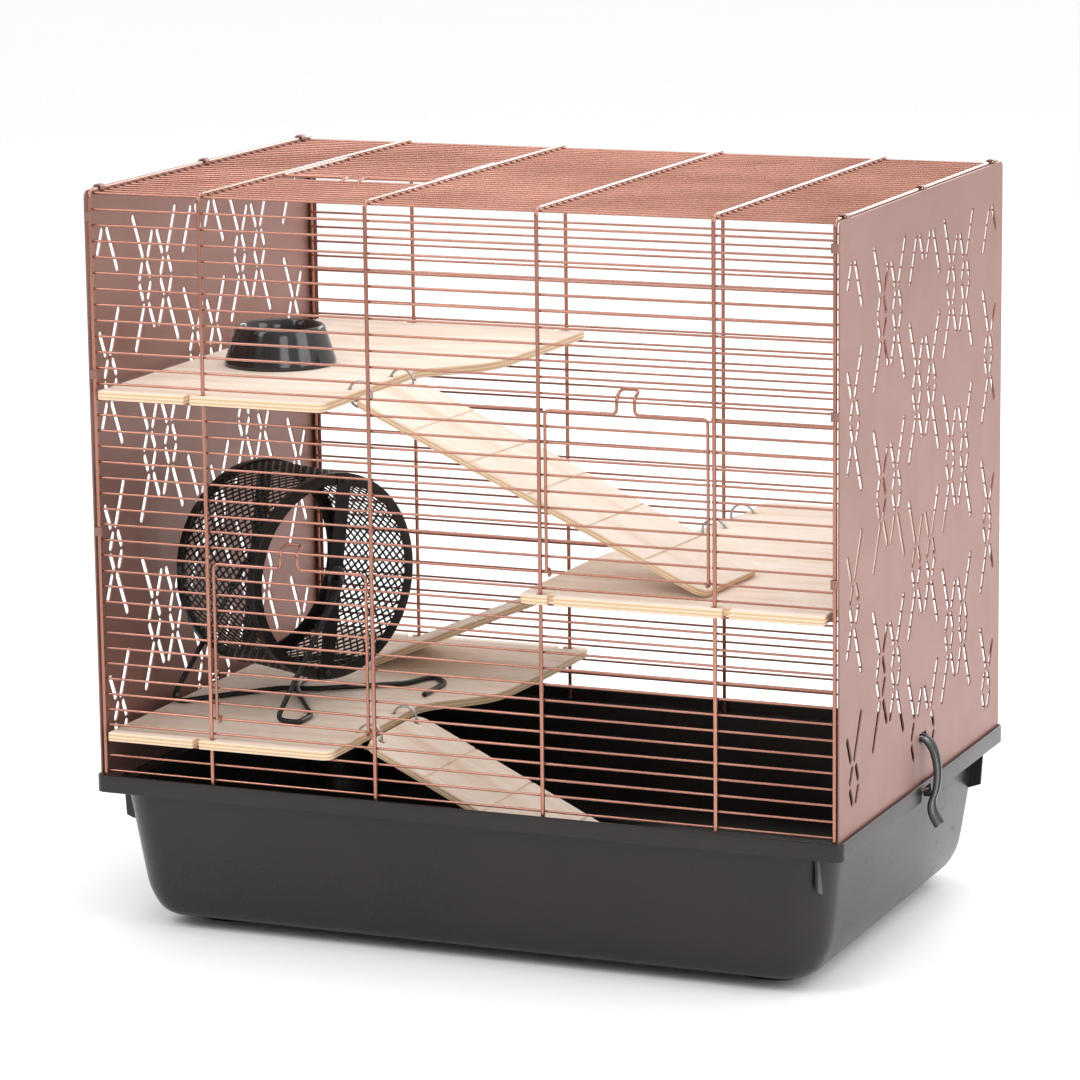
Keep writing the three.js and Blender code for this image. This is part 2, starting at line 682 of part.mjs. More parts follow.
function spokeBar(side) {
  const x = side * (WHEEL.width / 2 + GAP);
  const reach = WHEEL.radius - 1;
  const low = Math.min(x, x + side * 1.5);
  const high = Math.max(x, x + side * 1.5);
  const bar = box([low, -6.5, -reach], [high, 6.5, reach]);
  const hub = new THREE.CylinderGeometry(9, 9, 2.4, 16).rotateZ(Math.PI / 2);
  hub.translate(x + side * 1.5, 0, 0);
  const bore = new THREE.CylinderGeometry(STAND.wire + 0.4, STAND.wire + 0.4, 12, 12);
  bore.rotateZ(Math.PI / 2).translate(x, 0, 0);
  return joined([bar, hub], [bore]);
}

// One bent wire: a stub axle, a leg down to a front foot, then across under the wheel to a hook
// behind it. The far foot is folded in closer, to clear the panel.
function standWire(side, hubHeight) {
  const { reach, wire: radius } = STAND;
  const foot = side > 0 ? [[67, -76], [86, -72], [76, -50]] : [[46, -84], [30, -90], [26, -66]];
  const path = [
    [side * (WHEEL.width / 2 - 3), 0, hubHeight],
    [side * reach, 0, hubHeight],
    ...foot.map(([along, across]) => [side * along, across, radius]),
    [side * 10, -8, radius],
    [-side * 10, 8, radius],
    [-side * 46, 68, radius],
    [-side * 44, 99, radius],
    [-side * 66, 92, radius],
    [-side * 84, 54, radius],
  ];
  return wire(path, radius, { bend: 6, sides: 6, arcSteps: 2 });
}

function makeWheel() {
  const floor = shelfBottom(SHELF_LEVEL.lower) + SHELF.thickness + GAP;
  const hubHeight = WHEEL.shelfGap + WHEEL.radius;
  const group = new THREE.Group();
  group.position.set(WHEEL.x, WHEEL.y, floor);
  group.rotation.z = radians(WHEEL.heading - 90);
  cage.add(group);
  const turning = new THREE.Group();
  turning.position.z = hubHeight;
  turning.rotation.x = radians(-WHEEL.tilt);
  group.add(turning);
  piece("wheel_mesh_drum", drumGeometry(), MATERIAL.blackSteel, turning);
  piece("wheel_near_rim", rimGeometry(1), MATERIAL.blackSteel, turning);
  piece("wheel_far_rim", rimGeometry(-1), MATERIAL.blackSteel, turning);
  piece("wheel_near_bar", spokeBar(1), MATERIAL.blackSteel, turning);
  piece("wheel_far_bar", spokeBar(-1), MATERIAL.blackSteel, turning);
  const stand = joined([standWire(1, hubHeight), standWire(-1, hubHeight)]);
  piece("wheel_stand", stand, MATERIAL.blackSteel, group);
}

// ---- Food bowl: heavy-footed, wider at the base than at the lip.
function makeBowl() {
  const { base, top, height, wall } = BOWL;
  const profile = [
    [0, 0],
    [base, 0],
    [base, 2],
    [top + 1.5, height - 2.5],
    [top, height],
    [top - wall, height],
    [top - wall - 1, height - 3],
    [top - wall - 3, 9],
    [top - wall - 9, 5],
    [0, 5],
  ];
  const bowl = new THREE.LatheGeometry(profile.map(([r, z]) => new THREE.Vector2(r, z)), 32);
  const mesh = piece("food_bowl", bowl.rotateX(Math.PI / 2), MATERIAL.blackPlastic);
  const floor = shelfBottom(SHELF_LEVEL.upper) + SHELF.thickness + GAP;
  mesh.position.set(BOWL.x, BOWL.y, floor);
}

makeTray();
makeWireTop();
makeDoors();
makePanels();
makeClips();
makeShelvesAndRamps();
makeWheel();
makeBowl();

export default cage;
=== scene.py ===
import json
import math

import bmesh
import bpy
from mathutils import Matrix, Vector

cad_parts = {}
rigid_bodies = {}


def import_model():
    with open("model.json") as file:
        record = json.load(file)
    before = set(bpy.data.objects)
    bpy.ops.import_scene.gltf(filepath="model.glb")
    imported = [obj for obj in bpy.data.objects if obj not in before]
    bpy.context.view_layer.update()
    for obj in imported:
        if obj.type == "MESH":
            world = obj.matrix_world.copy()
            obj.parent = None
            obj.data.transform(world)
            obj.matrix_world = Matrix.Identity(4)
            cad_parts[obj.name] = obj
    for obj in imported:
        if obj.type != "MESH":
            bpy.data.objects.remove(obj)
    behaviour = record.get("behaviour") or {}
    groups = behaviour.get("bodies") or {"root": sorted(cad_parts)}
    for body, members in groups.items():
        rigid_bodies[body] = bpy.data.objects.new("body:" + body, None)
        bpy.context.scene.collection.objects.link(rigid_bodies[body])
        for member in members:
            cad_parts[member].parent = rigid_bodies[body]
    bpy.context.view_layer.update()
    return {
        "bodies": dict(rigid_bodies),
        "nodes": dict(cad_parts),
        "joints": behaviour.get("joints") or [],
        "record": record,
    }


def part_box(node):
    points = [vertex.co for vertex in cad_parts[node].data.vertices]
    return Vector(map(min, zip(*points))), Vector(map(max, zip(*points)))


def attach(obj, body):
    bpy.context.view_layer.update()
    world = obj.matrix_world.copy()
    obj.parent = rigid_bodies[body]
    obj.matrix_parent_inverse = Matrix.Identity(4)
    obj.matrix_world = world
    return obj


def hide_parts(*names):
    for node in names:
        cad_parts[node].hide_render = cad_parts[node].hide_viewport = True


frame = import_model()
print("frame loaded")

# Every size below is in millimetres; pieces are scaled to metres as they are made.
perMetre = 1000


def nodeBox(node):
    low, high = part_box(node)
    return low * perMetre, high * perMetre


def jointAt(name):
    joint = next(j for j in frame["record"]["behaviour"]["joints"] if j["name"] == name)
    return Vector(joint["pos_m"]) * perMetre, Vector(joint["axis"])


# shader kit


class Signal:
    # one output of a node, so that shader maths can be written as an expression
    def __init__(self, shader, socket):
        self.shader, self.socket = shader, socket

    def maths(self, operation, *others):
        return self.shader.maths(operation, self, *others)

    def __add__(self, other):
        return self.maths("ADD", other)

    def __sub__(self, other):
        return self.maths("SUBTRACT", other)

    def __mul__(self, other):
        return self.maths("MULTIPLY", other)

    def __truediv__(self, other):
        return self.maths("DIVIDE", other)

    def __radd__(self, other):
        return self.shader.maths("ADD", other, self)

    def __rsub__(self, other):
        return self.shader.maths("SUBTRACT", other, self)

    def __rmul__(self, other):
        return self.shader.maths("MULTIPLY", other, self)

    def band(self, low, high):
        # 0 below low, 1 above high, smooth between
        settings = {"interpolation_type": "SMOOTHSTEP"}
        return self.shader.node(
            "ShaderNodeMapRange", settings, {"Value": self, "From Min": low, "From Max": high}
        )


class Shader:
    def __init__(self, name, **surface):
        self.material = bpy.data.materials.new(name)
        self.material.use_nodes = True
        self.tree = self.material.node_tree
        self.surface = self.tree.nodes["Principled BSDF"]
        for socket, value in surface.items():
            self.set(socket, value)

    def put(self, target, value):
        if isinstance(value, Signal):
            self.tree.links.new(value.socket, target)
        elif isinstance(value, (tuple, list)) and target.type == "RGBA" and len(value) == 3:
            target.default_value = (*value, 1)
        else:
            target.default_value = value

    def set(self, socket, value):
        self.put(self.surface.inputs[socket], value)

    def node(self, kind, settings=None, inputs=None, output=0):
        made = self.tree.nodes.new(kind)
        for name, value in (settings or {}).items():
            if name == "stops":
                ramp = made.color_ramp
                while len(ramp.elements) < len(value):
                    ramp.elements.new(1)
                for element, (place, colour) in zip(ramp.elements, value):
                    element.position, element.color = place, (*colour, 1)
            else:
                setattr(made, name, value)
        for name, value in (inputs or {}).items():
            self.put(made.inputs[name], value)
        return Signal(self, made.outputs[output])

    def maths(self, operation, *values):
        return self.node("ShaderNodeMath", {"operation": operation}, dict(enumerate(values)))

    def place(self, scale=(1, 1, 1), turn=(0, 0, 0)):
        point = self.node("ShaderNodeTexCoord", output="Object")
        inputs = {"Vector": point, "Scale": scale, "Rotation": turn}
        return self.node("ShaderNodeMapping", None, inputs)

    def noise(self, point, scale, detail=4, roughness=0.55):
        inputs = {"Vector": point, "Scale": scale, "Detail": detail, "Roughness": roughness}
        return self.node("ShaderNodeTexNoise", None, inputs)

    def blend(self, amount, first, second, kind="MIX"):
        made = self.tree.nodes.new("ShaderNodeMix")
        made.data_type, made.blend_type = "RGBA", kind
        self.put(made.inputs["Factor"], amount)
        self.put(made.inputs[6], first)
        self.put(made.inputs[7], second)
        return Signal(self, made.outputs[2])

    def bump(self, height, distance, strength=1.0):
        inputs = {"Height": height, "Distance": distance, "Strength": strength}
        self.set("Normal", self.node("ShaderNodeBump", None, inputs))


copperLook = {
    "paint": (0.35, 0.145, 0.098),
    "light": (0.46, 0.208, 0.148),
    "metallic": 0.8,
    "roughness": 0.22,
    "mottle": 140,
}


def copperWire():
    look = copperLook
    settings = {"Metallic": look["metallic"], "Coat Weight": 0.6, "Coat Roughness": 0.1}
    shader = Shader("copperWirePaint", **settings)
    point = shader.place()
    mottle = shader.noise(point, look["mottle"], 5)
    cloud = shader.noise(point, 9, 3)
    shader.set("Base Color", shader.blend(cloud.band(0.35, 0.7), look["paint"], look["light"]))
    shader.set("Roughness", look["roughness"] - 0.08 + mottle * 0.18)
    shader.bump(shader.noise(point, 900, 2), 0.00006)
    return shader.material


panelLook = {
    "paint": (0.285, 0.148, 0.123),
    "shade": (0.25, 0.129, 0.105),
    "flake": (0.36, 0.2, 0.17),
    "roughness": 0.42,
}


def panelPaint():
    look = panelLook
    shader = Shader("roseCopperSheet", **{"Metallic": 0.38})
    point = shader.place()
    cloud = shader.noise(point, 5, 3).band(0.3, 0.7)
    flake = shader.noise(point, 1600, 1).band(0.6, 0.75)
    tone = shader.blend(cloud, look["paint"], look["shade"])
    shader.set("Base Color", shader.blend(flake * 0.5, tone, look["flake"]))
    shader.set("Roughness", look["roughness"] + shader.noise(point, 40, 4) * 0.12 - 0.06)
    peel = shader.noise(point, 420, 2) + flake * 0.2
    shader.bump(peel, 0.00008)
    return shader.material


plyLook = {
    "face": (0.79, 0.655, 0.545),
    "early": (0.85, 0.755, 0.665),
    "late": (0.69, 0.50, 0.37),
    "edge": (0.84, 0.64, 0.43),
    "edgeDark": (0.58, 0.38, 0.22),
    "layers": 5,
}


def plywood(name, thickness):
    # the grain runs along X; the plies show wherever the surface faces sideways
    look = plyLook
    shader = Shader(name, **{"Coat Roughness": 0.4})
    point = shader.place((3.2, 26, 26))
    wander = shader.noise(shader.place((2, 6, 6)), 3, 2)
    warped = shader.node(
        "ShaderNodeVectorMath", {"operation": "ADD"}, {0: point, 1: wander * 1.6}
    )
    figure = shader.noise(warped, 2.2, 6, 0.6)
    fibre = shader.noise(shader.place((12, 420, 420)), 3, 3, 0.7)
    tone = shader.node(
        "ShaderNodeValToRGB",
        {"stops": [(0.28, look["late"]), (0.46, look["face"]), (0.72, look["early"])]},
        {"Fac": figure},
    )
    tone = shader.blend(fibre.band(0.55, 0.8) * 0.35, tone, look["late"])
    split = shader.node("ShaderNodeSeparateXYZ", None, {"Vector": shader.place()}, "Z")
    layer = shader.maths("FRACT", split * (look["layers"] / 2 / (thickness / perMetre)))
    ply = layer.band(0.44, 0.5) - layer.band(0.92, 1)
    pores = shader.noise(shader.place((160, 160, 30)), 5, 3)
    edge = shader.blend(ply * (0.45 + pores * 0.6), look["edge"], look["edgeDark"])
    normal = shader.node("ShaderNodeTexCoord", output="Normal")
    up = shader.node("ShaderNodeSeparateXYZ", None, {"Vector": normal}, "Z")
    flat = shader.maths("ABSOLUTE", up).band(0.45, 0.75)
    shader.set("Base Color", shader.blend(flat, edge, tone))
    shader.set("Roughness", 0.56 + fibre * 0.2)
    shader.bump(fibre * 0.6 + ply * 0.5 * (1 - flat), 0.00012)
    return shader.material


def moulded(name, colour, sheen, roughness, grain, depth, specular=0.36):
    # smooth or lightly textured plastic, with faint marks from handling
    shader = Shader(name, **{"Specular IOR Level": specular})
    point = shader.place()
    cloud = shader.noise(point, 7, 4).band(0.3, 0.75)
    scuff = shader.noise(shader.place((40, 7, 12)), 9, 6, 0.7).band(0.58, 0.72)
    shader.set("Base Color", shader.blend(cloud, colour, sheen))
    shader.set("Roughness", roughness + cloud * 0.06 + scuff * 0.1)
    shader.bump(shader.noise(point, grain, 2), depth)
    return shader.material


def blackCoat():
    shader = Shader("blackPowderCoat", **{"Specular IOR Level": 0.4})
    point = shader.place()
    shader.set("Base Color", shader.blend(shader.noise(point, 60, 4), (0.006, 0.0055, 0.006), (0.014, 0.0125, 0.0125)))
    shader.set("Roughness", 0.2 + shader.noise(point, 200, 3) * 0.2)
    shader.bump(shader.noise(point, 1100, 2), 0.00007)
    return shader.material


def brightSteel():
    shader = Shader("brightSteel", **{"Metallic": 1.0})
    point = shader.place()
    shader.set("Base Color", shader.blend(shader.noise(point, 90, 3), (0.36, 0.36, 0.35), (0.52, 0.52, 0.51)))
    shader.set("Roughness", 0.16 + shader.noise(point, 260, 4) * 0.2)
    shader.bump(shader.noise(point, 1200, 1), 0.00004)
    return shader.material


copper = copperWire()
rosePanel = panelPaint()
trayPlastic = moulded("trayPlastic", (0.013, 0.01, 0.0095), (0.019, 0.0145, 0.014), 0.26, 900, 0.00005)
clipPlastic = moulded("clipPlastic", (0.01, 0.01, 0.01), (0.02, 0.019, 0.019), 0.24, 1200, 0.00003)
bowlGlaze = moulded("bowlGlaze", (0.008, 0.007, 0.007), (0.014, 0.012, 0.012), 0.08, 300, 0.00003, 0.7)
blackSteel = blackCoat()
silver = brightSteel()
print("materials made")

# mesh kit


def makePiece(name, verts, faces, material, body, nodes=(), matrix=None, sharp=35):
    # verts in millimetres, in the frame given by matrix
    mesh = bpy.data.meshes.new(name)
    mesh.from_pydata([Vector(v) / perMetre for v in verts], [], faces)
    return finishPiece(name, mesh, material, body, nodes, matrix, sharp)


def finishPiece(name, mesh, material, body, nodes=(), matrix=None, sharp=35):
    work = bmesh.new()
    work.from_mesh(mesh)
    bmesh.ops.remove_doubles(work, verts=work.verts, dist=2e-6)
    bmesh.ops.recalc_face_normals(work, faces=work.faces)
    work.to_mesh(mesh)
    work.free()
    mesh.materials.clear()
    mesh.materials.append(material)
    mesh.shade_smooth()
    mesh.set_sharp_from_angle(angle=math.radians(sharp))
    piece = bpy.data.objects.new(name, mesh)
    bpy.context.collection.objects.link(piece)
    if matrix:
        place = matrix.copy()
        place.translation = matrix.translation / perMetre
        piece.matrix_world = place
    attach(piece, body)
    if nodes:
        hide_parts(*nodes)
    return piece


def softCorners(points, reach, steps=4):
    # rounds every inner corner of a path in any number of dimensions
    size = len(points[0])
    path = [points[0]]
    for before, here, after in zip(points, points[1:], points[2:]):
        into = math.dist(before, here)
        out = math.dist(here, after)
        start = [h + (b - h) * min(reach / into, 0.48) for b, h in zip(before, here)]
        end = [h + (a - h) * min(reach / out, 0.48) for a, h in zip(after, here)]
        for i in range(steps + 1):
            t = i / steps
            weights = ((1 - t) ** 2, 2 * t * (1 - t), t * t)
            path.append(
                tuple(sum(w * p[k] for w, p in zip(weights, (start, here, end))) for k in range(size))
            )
    path.append(points[-1])
    return path


def tube(path, radius, sides=10, closed=False):
    # one round wire along a path, with flat capped ends unless it closes on itself
    points = [Vector(p) for p in path]
    count = len(points)
    verts, faces = [], []
    side = None
    for i, point in enumerate(points):
        before = points[i - 1] if i or closed else point
        after = points[(i + 1) % count] if i < count - 1 or closed else point
        along = ((point - before).normalized() + (after - point).normalized()).normalized()
        if side is None:
            side = along.orthogonal().normalized()
        side = (side - along * side.dot(along)).normalized()
        other = along.cross(side)
        for k in range(sides):
            angle = 2 * math.pi * k / sides
            verts.append(point + radius * (side * math.cos(angle) + other * math.sin(angle)))
    rings = count if closed else count - 1
    for i in range(rings):
        a, b = i * sides, ((i + 1) % count) * sides
        for k in range(sides):
            n = (k + 1) % sides
            faces.append((a + k, a + n, b + n, b + k))
    if not closed:
        faces.append(tuple(range(sides - 1, -1, -1)))
        faces.append(tuple((count - 1) * sides + k for k in range(sides)))
    return verts, faces


def joinShapes(shapes):
    verts, faces = [], []
    for moreVerts, moreFaces in shapes:
        base = len(verts)
        verts += [Vector(v) for v in moreVerts]
        faces += [tuple(i + base for i in face) for face in moreFaces]
    return verts, faces


def lathe(profile, segments=96, turns=None):
    # profile of (radius, height) about local Z; it closes on itself unless it touches the axis
    verts, faces = [], []
    loop = profile[0][0] > 0
    count = len(profile)
    for i in range(segments):
        angle = 2 * math.pi * i / segments
        verts += [(r * math.cos(angle), r * math.sin(angle), z) for r, z in profile]
    for i in range(segments):
        a, b = i * count, ((i + 1) % segments) * count
        for k in range(count if loop else count - 1):
            n = (k + 1) % count
            faces.append((a + k, b + k, b + n, a + n))
    return verts, faces


def turned(shape, matrix):
    verts, faces = shape
    return [matrix @ Vector(v) for v in verts], faces


def block(low, high):
    verts = [(x, y, z) for x in (low[0], high[0]) for y in (low[1], high[1]) for z in (low[2], high[2])]
    faces = [(0, 1, 3, 2), (4, 6, 7, 5), (0, 4, 5, 1), (2, 3, 7, 6), (0, 2, 6, 4), (1, 5, 7, 3)]
    return verts, faces


def plateMesh(outline, holes, thickness, arris=0.4):
    # a flat sheet in XY with bevelled arrises, its lower face at z = 0
    curve = bpy.data.curves.new("plate", "CURVE")
    curve.dimensions, curve.fill_mode = "2D", "BOTH"
    curve.extrude = (thickness / 2 - arris) / perMetre
    curve.bevel_depth, curve.offset = arris / perMetre, -arris / perMetre
    curve.bevel_resolution = 0
    for loop in (outline, *holes):
        spline = curve.splines.new("POLY")
        spline.points.add(len(loop) - 1)
        for point, (x, y) in zip(spline.points, loop):
            point.co = (x / perMetre, y / perMetre, 0, 1)
        spline.use_cyclic_u = True
    holder = bpy.data.objects.new("plate", curve)
    bpy.context.collection.objects.link(holder)
    graph = bpy.context.evaluated_depsgraph_get()
    mesh = bpy.data.meshes.new_from_object(holder.evaluated_get(graph))
    bpy.data.objects.remove(holder)
    mesh.transform(Matrix.Translation((0, 0, thickness / 2 / perMetre)))
    return mesh


def carve(mesh, cutters, operation="DIFFERENCE"):
    # cuts the joined cutter shapes from the mesh, or welds them on
    target = bpy.data.objects.new("target", mesh)
    verts, faces = joinShapes(cutters)
    toolMesh = bpy.data.meshes.new("tool")
    toolMesh.from_pydata([Vector(v) / perMetre for v in verts], [], faces)
    work = bmesh.new()
    work.from_mesh(toolMesh)
    bmesh.ops.recalc_face_normals(work, faces=work.faces)
    work.to_mesh(toolMesh)
    work.free()
    tool = bpy.data.objects.new("tool", toolMesh)
    for made in (target, tool):
        bpy.context.collection.objects.link(made)
    cut = target.modifiers.new("cut", "BOOLEAN")
    cut.operation, cut.object, cut.solver = operation, tool, "EXACT"
    cut.use_self = True
    graph = bpy.context.evaluated_depsgraph_get()
    result = bpy.data.meshes.new_from_object(target.evaluated_get(graph))
    bpy.data.objects.remove(target)
    bpy.data.objects.remove(tool)
    return result


def mergedMesh(mesh, distance=2e-6):
    work = bmesh.new()
    work.from_mesh(mesh)
    bmesh.ops.remove_doubles(work, verts=work.verts, dist=distance)
    bmesh.ops.recalc_face_normals(work, faces=work.faces)
    work.to_mesh(mesh)
    work.free()
    return mesh


# tray

trayLow, trayHigh = nodeBox("tray")
tray = {
    "halfX": trayHigh.x,
    "halfY": trayHigh.y,
    "rimTop": trayHigh.z,
    "floor": 9,
    "wall": 3,
    "skirt": 13,
    "skirtWall": 1.8,
    "endChannel": 12.7,
    "sideChannel": 9.2,
    "channelDepth": 9,
    "footX": 214,
    "footY": 128,
    "footSize": (24, 13),
    "endWebAt": 152,
    "sideWebAt": 268,
}


def rimWeb(out, along, depth, turn):
    # an upright web under the rim, its outer edge at out, running back into the wall
    top = tray["rimTop"] - 11
    outline = [(out, top), (out - depth, top), (out - depth - 4, top - 32), (out - 2, top - 28)]
    verts = [(x, along + y, z) for y in (-1, 1) for x, z in outline]
    faces = [(0, 1, 2, 3), (7, 6, 5, 4), (0, 4, 5, 1), (1, 5, 6, 2), (2, 6, 7, 3), (3, 7, 4, 0)]
    return turned((verts, faces), Matrix.Rotation(turn, 4, "Z"))


def ringAt(insetX, insetY, corner, z, arcSteps=9):
    halfX, halfY = tray["halfX"] - insetX, tray["halfY"] - insetY
    ring = []
    for quarter, (sx, sy) in enumerate([(1, 1), (-1, 1), (-1, -1), (1, -1)]):
        for i in range(arcSteps + 1):
            angle = (quarter + i / arcSteps) * math.pi / 2
            x = sx * (halfX - corner) + corner * math.cos(angle)
            ring.append((x, sy * (halfY - corner) + corner * math.sin(angle), z))
    return ring


def makeTray():
    top, floor, wall = tray["rimTop"], tray["floor"], tray["wall"]
    edge = tray["skirtWall"]
    endIn, sideIn = edge + tray["endChannel"], edge + tray["sideChannel"]
    ledge = top - tray["channelDepth"]
    # each row: inset of the ends, inset of the sides, corner radius, height
    outside = [
        (62, 44, 12, floor),
        (35, 22, 22, floor),
        (24, 16.5, 27, floor + 17),
        (20, 15, 30, floor + 34),
        (endIn - wall, sideIn - wall, 30, ledge - wall),
    ]
    under = [
        (endIn - wall, sideIn - wall, 30, ledge - wall),
        (edge + 0.2, edge + 0.2, 5, ledge - wall),
        (edge + 0.2, edge + 0.2, 5, top - tray["skirt"]),
        (0, 0, 7, top - tray["skirt"]),
        (0, 0, 7, top),
        (edge, edge, 5, top),
        (edge, edge, 5, ledge),
        (endIn, sideIn, 27, ledge),
    ]
    inside = [
        (endIn, sideIn, 27, ledge),
        (23, 18, 27, floor + 34),
        (27, 19.5, 24, floor + 18),
        (38, 25, 19, floor + wall),
        (64, 46, 10, floor + wall),
    ]
    rows = [*softCorners(outside, 11, 6)[:-1], *softCorners(under, 0.8, 2)[:-1], *softCorners(inside, 10, 6)]
    rings = [ringAt(*row) for row in rows]
    count = len(rings[0])
    verts = [v for ring in rings for v in ring]
    faces = [tuple(range(count - 1, -1, -1)), tuple((len(rings) - 1) * count + i for i in range(count))]
    for r in range(len(rings) - 1):
        for i in range(count):
            n = (i + 1) % count
            faces.append((r * count + i, r * count + n, (r + 1) * count + n, (r + 1) * count + i))
    mesh = bpy.data.meshes.new("tray")
    mesh.from_pydata([Vector(v) / perMetre for v in verts], [], faces)
    additions, cuts = [], []
    for sx in (-1, 1):
        for sy in (-1, 1):
            a, b = tray["footSize"]
            foot = lathe([(0, 0), (0.86, 0), (0.97, 1.2), (1, 4), (1, floor + 1), (0, floor + 1)], 40)
            size = Matrix.Diagonal((a, b, 1, 1))
            additions.append(turned(foot, Matrix.Translation((sx * tray["footX"], sy * tray["footY"], 0)) @ size))
        outer, inward = sx * (tray["halfX"] + 3), sx * (tray["halfX"] - 6.5)
        low, high = top - tray["skirt"] - 2, top - 3
        spread = [(-12.5, low), (12.5, low), (9.2, high), (-9.2, high)]
        verts = [(x, y, z) for x in (inward, outer) for y, z in spread]
        cuts.append((verts, [(0, 1, 2, 3), (7, 6, 5, 4), (0, 4, 5, 1), (1, 5, 6, 2), (2, 6, 7, 3), (3, 7, 4, 0)]))
    for turn in (0, math.pi):
        additions.append(rimWeb(tray["halfX"] - 4, tray["endWebAt"], 9.5, turn))
        additions.append(rimWeb(tray["halfY"] - 10, tray["sideWebAt"], 8, turn - math.pi / 2))
    mesh = carve(mergedMesh(mesh), additions, "UNION")
    mesh = carve(mesh, cuts)
    finishPiece("trayShell", mesh, trayPlastic, "cage", ["tray"], sharp=32)


makeTray()
print("tray made")

# wire top

frontLow, frontHigh = nodeBox("front_grid")
hoopLow, hoopHigh = nodeBox("hoop_1")
wires = {
    "hoopRadius": 1.5,
    "crossRadius": 0.92,
    "bend": 6,
    "hoopX": (-283, -195.6, -65.1, 65.1, 195.6, 283),
    "wallY": 184.5,
    "roofZ": 549.5,
    "bottom": hoopLow.z,
    "inset": 2.2,
    "firstLevel": 547.4,
    "wallPitch": 11.54,
    "levels": 37,
    "roofPitch": 11.22,
    "roofSpaces": 32,
    "doorSpaces": 10,
    "upperDoor": 12,
    "lowerDoor": 23,
    "hatch": 11,
}


def hoopPath(x):
    w = wires
    corners = [
        (x, -w["wallY"], w["bottom"]),
        (x, -w["wallY"], w["roofZ"]),
        (x, w["wallY"], w["roofZ"]),
        (x, w["wallY"], w["bottom"]),
    ]
    return softCorners(corners, w["bend"], 8)


def crossRuns(cut):
    # the stretches of a cross wire, broken where a door's bay opens
    x = wires["hoopX"]
    if cut is None:
        return [(x[0] + 0.4, x[5] - 0.4)]
    stub = wires["hoopRadius"] + 1.2
    return [(x[0] + 0.4, x[cut] + stub), (x[cut + 1] - stub, x[5] - 0.4)]


def inDoor(level, first):
    return first <= level < first + wires["doorSpaces"]


def makeWireTop():
    w = wires
    crossY = w["wallY"] - w["inset"]
    walls = {-1: [], 1: []}
    for level in range(1, w["levels"] + 1):
        z = w["firstLevel"] - level * w["wallPitch"]
        for side, runs in walls.items():
            cut = None
            if side < 0 and inDoor(level, w["upperDoor"]):
                cut = 3
            elif side < 0 and inDoor(level, w["lowerDoor"]):
                cut = 1
            for start, end in crossRuns(cut):
                runs.append(tube([(start, side * crossY, z), (end, side * crossY, z)], w["crossRadius"], 8))
    roof = []
    z = w["roofZ"] - w["inset"]
    for index in range(w["roofSpaces"] + 1):
        y = (index - w["roofSpaces"] / 2) * w["roofPitch"]
        cut = 1 if inDoor(index, w["hatch"]) else None
        for start, end in crossRuns(cut):
            roof.append(tube([(start, y, z), (end, y, z)], w["crossRadius"], 8))
    for name, shapes, node in (
        ("frontCrossWires", walls[-1], "front_grid"),
        ("rearCrossWires", walls[1], "rear_grid"),
        ("roofCrossWires", roof, "roof_grid"),
    ):
        verts, faces = joinShapes(shapes)
        makePiece(name, verts, faces, copper, "cage", [node], sharp=60)
    for index, x in enumerate(w["hoopX"]):
        verts, faces = tube(hoopPath(x), w["hoopRadius"], 12)
        nodes = [f"hoop_{index}"] if 0 < index < 5 else []
        makePiece(f"hoopWire{index + 1}", verts, faces, copper, "cage", nodes, sharp=60)


makeWireTop()
print("wire top made")

# doors, drawn about the hinge wire: Z towards the latch, -Y outwards

door = {
    "half": 60.5,
    "frameRadius": 1.2,
    "corner": 6,
    "post": 6.6,
    "postHeight": 11.5,
    "loopHeight": 16.5,
    "loopBack": 9,
    "curl": 2.4,
    "curlWire": 1.05,
}


def doorShapes(pitch):
    d = door
    height = pitch * wires["doorSpaces"]
    front = -d["curl"]
    half, post = d["half"], d["post"]
    frame = [
        (-half, front, 0.5),
        (-half, front, height),
        (-post, front, height),
        (-post, front, height + d["postHeight"]),
        (-post - 0.4, front + d["loopBack"], height + d["loopHeight"]),
        (post + 0.4, front + d["loopBack"], height + d["loopHeight"]),
        (post, front, height + d["postHeight"]),
        (post, front, height),
        (half, front, height),
        (half, front, 0.5),
    ]
    shapes = [tube(softCorners(frame, 4.2, 6), d["frameRadius"], 10)]
    for side in (-1, 1):
        # the curl round the hinge wire, a little more than one turn
        curl = []
        for i in range(27):
            angle = math.pi * (1 - i / 12)
            y, z = d["curl"] * math.cos(angle), d["curl"] * math.sin(angle)
            curl.append((side * (half - i * 0.07), y, z))
        shapes.append(tube(curl, d["curlWire"], 8))
    barY = front + d["frameRadius"] + wires["crossRadius"] - 0.35
    for i in range(1, wires["doorSpaces"]):
        ends = [(-half - 0.8, barY, i * pitch), (half + 0.8, barY, i * pitch)]
        shapes.append(tube(ends, wires["crossRadius"], 8))
    return joinShapes(shapes)


def makeDoors():
    for name, node, body, hinge, pitch in (
        ("upperDoorWires", "upper_front_door", "upper_door", "upper_door_hinge", wires["wallPitch"]),
        ("lowerDoorWires", "lower_front_door", "lower_door", "lower_door_hinge", wires["wallPitch"]),
        ("hatchWires", "roof_hatch", "hatch", "roof_hatch_hinge", wires["roofPitch"]),
    ):
        where, _ = jointAt(hinge)
        turn = Matrix.Translation(where)
        if body == "hatch":
            turn = turn @ Matrix.Rotation(math.pi / 2, 4, "X") @ Matrix.Rotation(math.pi, 4, "Z")
        verts, faces = doorShapes(pitch)
        makePiece(name, verts, faces, copper, body, [node], turn, 60)


makeDoors()
print("doors made")

# side panels

